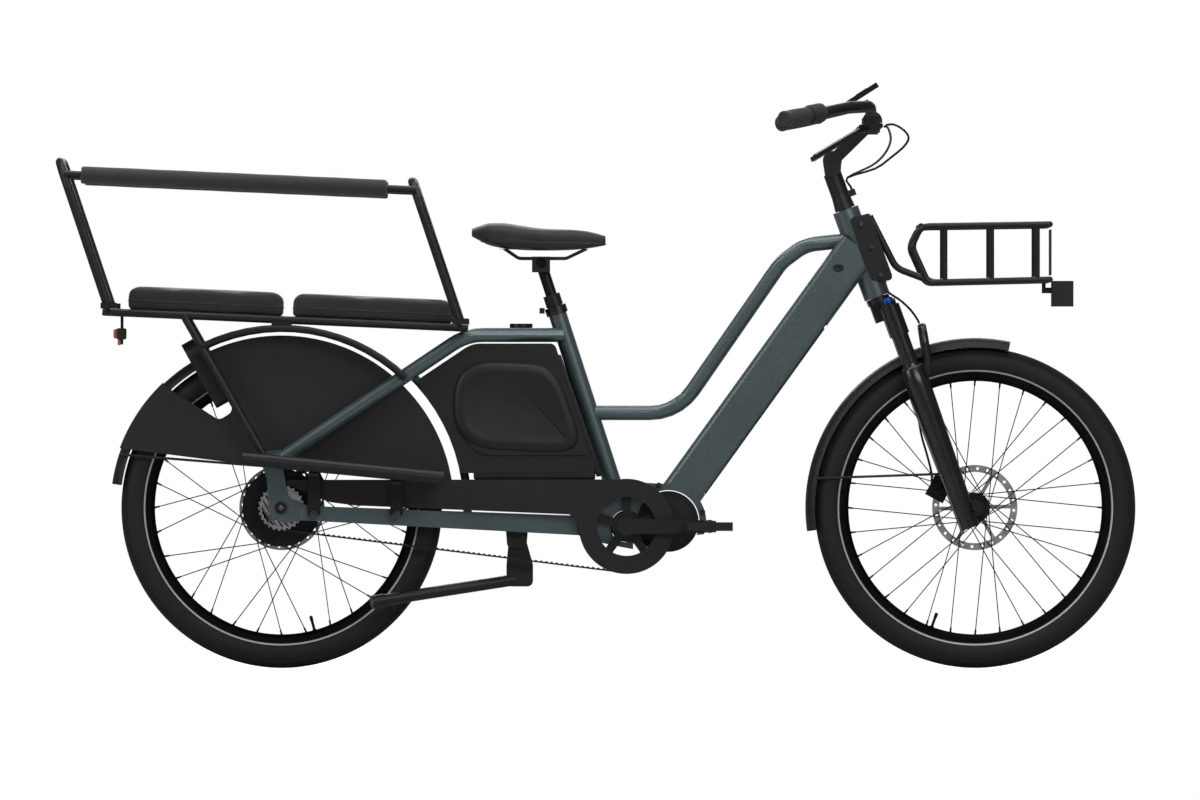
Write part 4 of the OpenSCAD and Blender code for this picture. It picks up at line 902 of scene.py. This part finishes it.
# %% Tail light, reflector and headlight lens
low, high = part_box("tail_light")
housing = block((0.020, 0.056, 0.024), (high.x - 0.0115, 0, 0.7045), bevel=0.004)
bracket = block((0.006, 0.018, 0.040), (high.x - 0.0105, 0, high.z - 0.021), bevel=0.0015)
hanger = block((0.005, 0.014, 0.022), (high.x - 0.0105, 0, low.z + 0.014), bevel=0.0015)
housing = joined([housing, bracket, hanger], "housing")
hand_over(housing, "tail_light_housing", "frame", "black_plastic", black_plastic, "tail_light")
red = block((0.012, 0.052, 0.020), (low.x + 0.0068, 0, 0.7045), bevel=0.0045, segments=4)
hand_over(red, "tail_light_lens", "frame", "red_lens", red_lens)
amber = block((0.006, 0.042, 0.014), (high.x - 0.0165, 0, low.z + 0.0085), bevel=0.002)
hand_over(amber, "rear_reflector", "frame", "red_lens", amber_lens)
low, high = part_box("headlight")
glass = block((0.006, 0.050, 0.040), (high.x - 0.022, 0, low.z + 0.027), bevel=0.002)
hand_over(glass, "headlight_lens", "frame", "black_plastic", clear_lens)

# %% [markdown]
# ## Bolts, caps and valves
# Small screws give the eye its scale. One socket-head bolt is turned with a hexagon recess,
# then copied to every place that has one, each copy its own mesh.

# %% One socket-head bolt
def socket_bolt(radius, head=0.004):
    bolt = turned([(-0.003, radius * 0.7), (0, radius), (head * 0.75, radius),
                   (head, radius * 0.86)], (0, 0, 0), (0, 0, 1), 24)
    bpy.ops.object.select_all(action="DESELECT")
    bpy.ops.mesh.primitive_circle_add(vertices=6, radius=radius * 0.5, fill_type="NGON",
                                      location=(0, 0, head + 0.00005))
    hexagon = bpy.context.object
    bpy.ops.object.transform_apply(location=True)
    select_faces(hexagon, lambda c, n: True)
    bpy.ops.mesh.inset(thickness=radius * 0.08, depth=0)
    bpy.ops.transform.translate(value=(0, 0, -head * 0.45))
    bpy.ops.object.mode_set(mode="OBJECT")
    return joined([bolt, hexagon], "bolt")


def bolts(name, body, places, material=None):
    """places: (point, direction, radius) of each bolt's seat."""
    made = []
    for point, direction, radius in places:
        one = socket_bolt(radius)
        one.data.transform(Matrix.Translation(Vector(point)) @ aim(direction))
        made.append(one)
    group = joined(made, name)
    group.location = (0, 0, 0)
    return hand_over(group, name, body, "dark_steel", material or bolt_steel)


right = Vector((0, -1, 0))
plate_out = 0.036
for sign, side_name in ((1, "right"), (-1, "left")):
    out_y = right * sign
    heads = [steered(x, -plate_out * sign, z) for x, z in
             ((0.020, 0.156), (0.024, 0.102), (0.022, 0.042))]
    bolts("head_plate_bolts_" + side_name, "frame", [(p, out_y, 0.0052) for p in heads])
feet = [Vector((rear_axle.x + d, -0.088, rear_axle.z - 0.014)) for d in (0.069, 0.243)]
bolts("footboard_bolts_right", "frame", [(p, right, 0.0085) for p in feet])
bolts("footboard_bolts_left", "frame",
      [(Vector((p.x, -p.y, p.z)), -right, 0.0085) for p in feet])

# %% Rotor, crank and stem bolts
def ring_of(centre, radius, count, y, direction, size, shift=0.0):
    return [(centre + Vector((radius * math.cos(a), y, radius * math.sin(a))), direction, size)
            for a in (shift + 2 * math.pi * k / count for k in range(count))]


bolts("front_rotor_bolts", "front_wheel", ring_of(front_axle, 0.022, 6, 0.0392, -right, 0.0032))
bolts("rear_rotor_bolts", "rear_wheel", ring_of(rear_axle, 0.044, 6, 0.0472, -right, 0.0032))
bolts("spider_bolts", "cranks", ring_of(crank_axle, 0.070, 5, -0.0565, right, 0.0045,
                                        math.radians(18)), rotor_steel)

# %% Fork adjuster caps
leg_forward, leg_across, leg_top = 0.017, 0.066, -0.164
cap = turned([(0, 0.0135), (0.005, 0.0135), (0.0055, 0.0125), (0.010, 0.0115), (0.0115, 0.0095)],
             steered(leg_forward, -leg_across, -0.020), steer_up, 32)
hand_over(cap, "fork_adjuster", "steering", "fork_paint", blue_cap)
plain = turned([(0, 0.0135), (0.004, 0.0135), (0.007, 0.0115), (0.008, 0.0095)],
               steered(leg_forward, leg_across, -0.020), steer_up, 32)
hand_over(plain, "fork_top_cap", "steering", "fork_paint", fork_paint)

# %% [markdown]
# ## Fork castings
# The lower legs are castings: widest under the dust seal, where the arch joins them, and
# tapering to the axle. A turned sleeve with that taper goes over each straight leg.

# %% Tapered sleeves on the lower legs
casting = [(-0.007, 0.0187), (-0.002, 0.0196), (0.000, 0.0225), (0.004, 0.0252), (0.040, 0.0262),
           (0.090, 0.0256), (0.160, 0.0240), (0.240, 0.0224), (0.310, 0.0212), (0.330, 0.0206)]
for side_name, y in (("right", -leg_across), ("left", leg_across)):
    sleeve = turned(casting, steered(leg_forward, y, leg_top), -steer_up, 48)
    hand_over(sleeve, side_name + "_fork_casting", "fork_legs", "fork_paint", fork_paint)

# %% Valves
rim_inner = 0.267
for wheel, axle, angle in (("front_wheel", front_axle, 250), ("rear_wheel", rear_axle, 285)):
    a = math.radians(angle)
    outward = Vector((math.cos(a), 0, math.sin(a)))
    valve = turned([(0, 0.0042), (0.004, 0.0042), (0.0045, 0.0030), (0.022, 0.0030),
                    (0.0225, 0.0036), (0.031, 0.0036), (0.033, 0.0024)],
                   axle + outward * (rim_inner + 0.002), -outward, 16)
    hand_over(valve, wheel.replace("wheel", "valve"), wheel, "rim", rim_black)

# %% [markdown]
# ## Spokes and nipples
# Each wheel has 32 spokes, half on each flange, which lead and trail by turns and cross each
# other. Seen at the rim they are evenly spaced, so a spoke's turn round the axle is a whole
# number of spoke gaps. A headed wire and a small nipple are turned for each, with few faces.

# %% Lace both wheels
spoke_count = 32
spoke_gap = math.tau / spoke_count
spoke_radius = 0.0011
rim_seat = rim_inner + 0.001


def around_axle(axle, radius, angle, across):
    return axle + Vector((radius * math.cos(angle), across, radius * math.sin(angle)))


def spoke_lines(axle, flange_radius, flange_offset, crossing):
    """Where each spoke leaves its flange, and where it meets the rim."""
    lines = []
    for side, shift in ((1, 0), (-1, spoke_gap)):
        for i in range(spoke_count // 2):
            lead = 1 if i % 2 == 0 else -1
            start = 2 * i * spoke_gap + shift
            hub_end = around_axle(axle, flange_radius, start, side * flange_offset + lead * 0.002)
            rim_end = around_axle(axle, rim_seat, start + lead * crossing, side * 0.004)
            lines.append((hub_end, rim_end))
    return lines


def lace(end, wheel, lines):
    wires, seats = [], []
    for hub_end, rim_end in lines:
        along = rim_end - hub_end
        wires.append(turned([(-0.001, 0.0019), (0.0006, 0.0019), (0.0014, spoke_radius),
                             (along.length, spoke_radius)], hub_end, along, 6))
        seats.append(turned([(0, 0.0028), (0.003, 0.0021), (0.011, 0.0019)], rim_end, -along, 8))
    hand_over(joined(wires, end + "_wires"), end + "_laced_spokes", wheel, "spoke", spoke_black,
              end + "_spokes")
    hand_over(joined(seats, end + "_seats"), end + "_nipples", wheel, "spoke", spoke_black)
    print(end, "spokes:", len(lines))


lace("front", "front_wheel", spoke_lines(front_axle, 0.028, 0.028, 6 * spoke_gap))
lace("rear", "rear_wheel", spoke_lines(rear_axle, 0.079, 0.024, 4 * spoke_gap))

# %% [markdown]
# ## Toothed flange of the rear cog
# Seen from the side, the cog is a bright disc with short square teeth. A circle gets its
# points moved in and out in turn, is extruded to a plate and inset to leave a raised rim.

# %% Cog flange
tooth_total = 26
bpy.ops.object.select_all(action="DESELECT")
bpy.ops.mesh.primitive_circle_add(vertices=tooth_total * 4, radius=1, fill_type="NGON")
flange = bpy.context.object
for vertex in flange.data.vertices:
    angle = math.atan2(vertex.co.y, vertex.co.x)
    radius = 0.0486 if vertex.index // 2 % 2 else 0.0446
    vertex.co = Vector((radius * math.cos(angle), 0, radius * math.sin(angle)))
edit_all(flange)
bpy.ops.mesh.extrude_region_move(TRANSFORM_OT_translate={"value": (0, -0.0014, 0)})
bpy.ops.mesh.inset(thickness=0.004, depth=0)
bpy.ops.mesh.inset(thickness=0.0006, depth=0)
bpy.ops.transform.translate(value=(0, 0.0009, 0))
bpy.ops.object.mode_set(mode="OBJECT")
flange.location = (rear_axle.x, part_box("rear_cog")[0].y + 0.0002, rear_axle.z)
bpy.ops.object.shade_smooth_by_angle(angle=math.radians(30))
hand_over(flange, "cog_flange", "cog", "cog_steel", cog_steel)

# %% [markdown]
# ## Stage
# The bicycle stands on a plain pale floor in soft studio light: a bright even surround, one
# broad lamp overhead, two long soft lamps at the sides that draw lines of light down the
# black tubes, and one behind. The camera is far off with a long lens, so the side view is
# nearly flat. The floor is only as large as the lamps light evenly.

# %% Floor, light and camera
bpy.ops.object.select_all(action="DESELECT")
bpy.ops.mesh.primitive_plane_add(size=8.8, location=(0, 0, -0.0005))
floor = bpy.context.object
floor.name = "floor"
paper = finish("floor", (0.50, 0.50, 0.50), (0.52, 0.52, 0.52), (0.8, 0.9), depth=0.0,
               Emission_Color=(1, 1, 1, 1))
tree = paper.node_tree
rays = tree.nodes.new("ShaderNodeLightPath")
glow = node(tree, "ShaderNodeMath", [(0, rays.outputs["Is Camera Ray"])], operation="MULTIPLY")
glow.inputs[1].default_value = 0.8
tree.links.new(glow.outputs[0], tree.nodes["Principled BSDF"].inputs["Emission Strength"])
floor.data.materials.append(paper)

world = bpy.data.worlds.new("studio")
world.use_nodes = True
sky = world.node_tree
dim = sky.nodes["Background"]
dim.inputs["Color"].default_value = (0.95, 0.97, 1.0, 1)
dim.inputs["Strength"].default_value = 0.17
seen = node(sky, "ShaderNodeBackground")
seen.inputs["Color"].default_value = (1, 1, 1, 1)
seen.inputs["Strength"].default_value = 1.0
rays = sky.nodes.new("ShaderNodeLightPath")
choose = node(sky, "ShaderNodeMixShader", [(0, rays.outputs["Is Camera Ray"]),
                                           (1, dim.outputs[0]), (2, seen.outputs[0])])
sky.links.new(choose.outputs[0], sky.nodes["World Output"].inputs["Surface"])
bpy.context.scene.world = world


def soft_lamp(name, place, target, size, power):
    data = bpy.data.lights.new(name, "AREA")
    data.shape, data.size, data.size_y, data.energy = "RECTANGLE", size[0], size[1], power
    lamp = bpy.data.objects.new(name, data)
    bpy.context.scene.collection.objects.link(lamp)
    lamp.location = place
    lamp.rotation_euler = (Vector(target) - Vector(place)).to_track_quat("-Z", "Y").to_euler()
    return lamp


soft_lamp("overhead", (0, -0.6, 3.6), (0, 0, 0.4), (4.5, 2.4), 105)
soft_lamp("front side", (1.8, -4.2, 2.6), (0.1, 0, 0.5), (3.0, 1.6), 80)
soft_lamp("rear side", (-3.4, -2.2, 2.0), (-0.2, 0, 0.5), (1.4, 2.4), 50)
soft_lamp("behind", (0.4, 3.4, 2.4), (0, 0, 0.5), (3.6, 1.2), 60)

camera_data = bpy.data.cameras.new("camera")
camera_data.lens = 600
camera_data.clip_end = 200
camera = bpy.data.objects.new("camera", camera_data)
bpy.context.scene.collection.objects.link(camera)
camera.location = (0.0042, -42.165, 0.565)
camera.rotation_euler = (math.pi / 2, 0, 0)
bpy.context.scene.camera = camera
bpy.context.scene.view_settings.view_transform = "Standard"
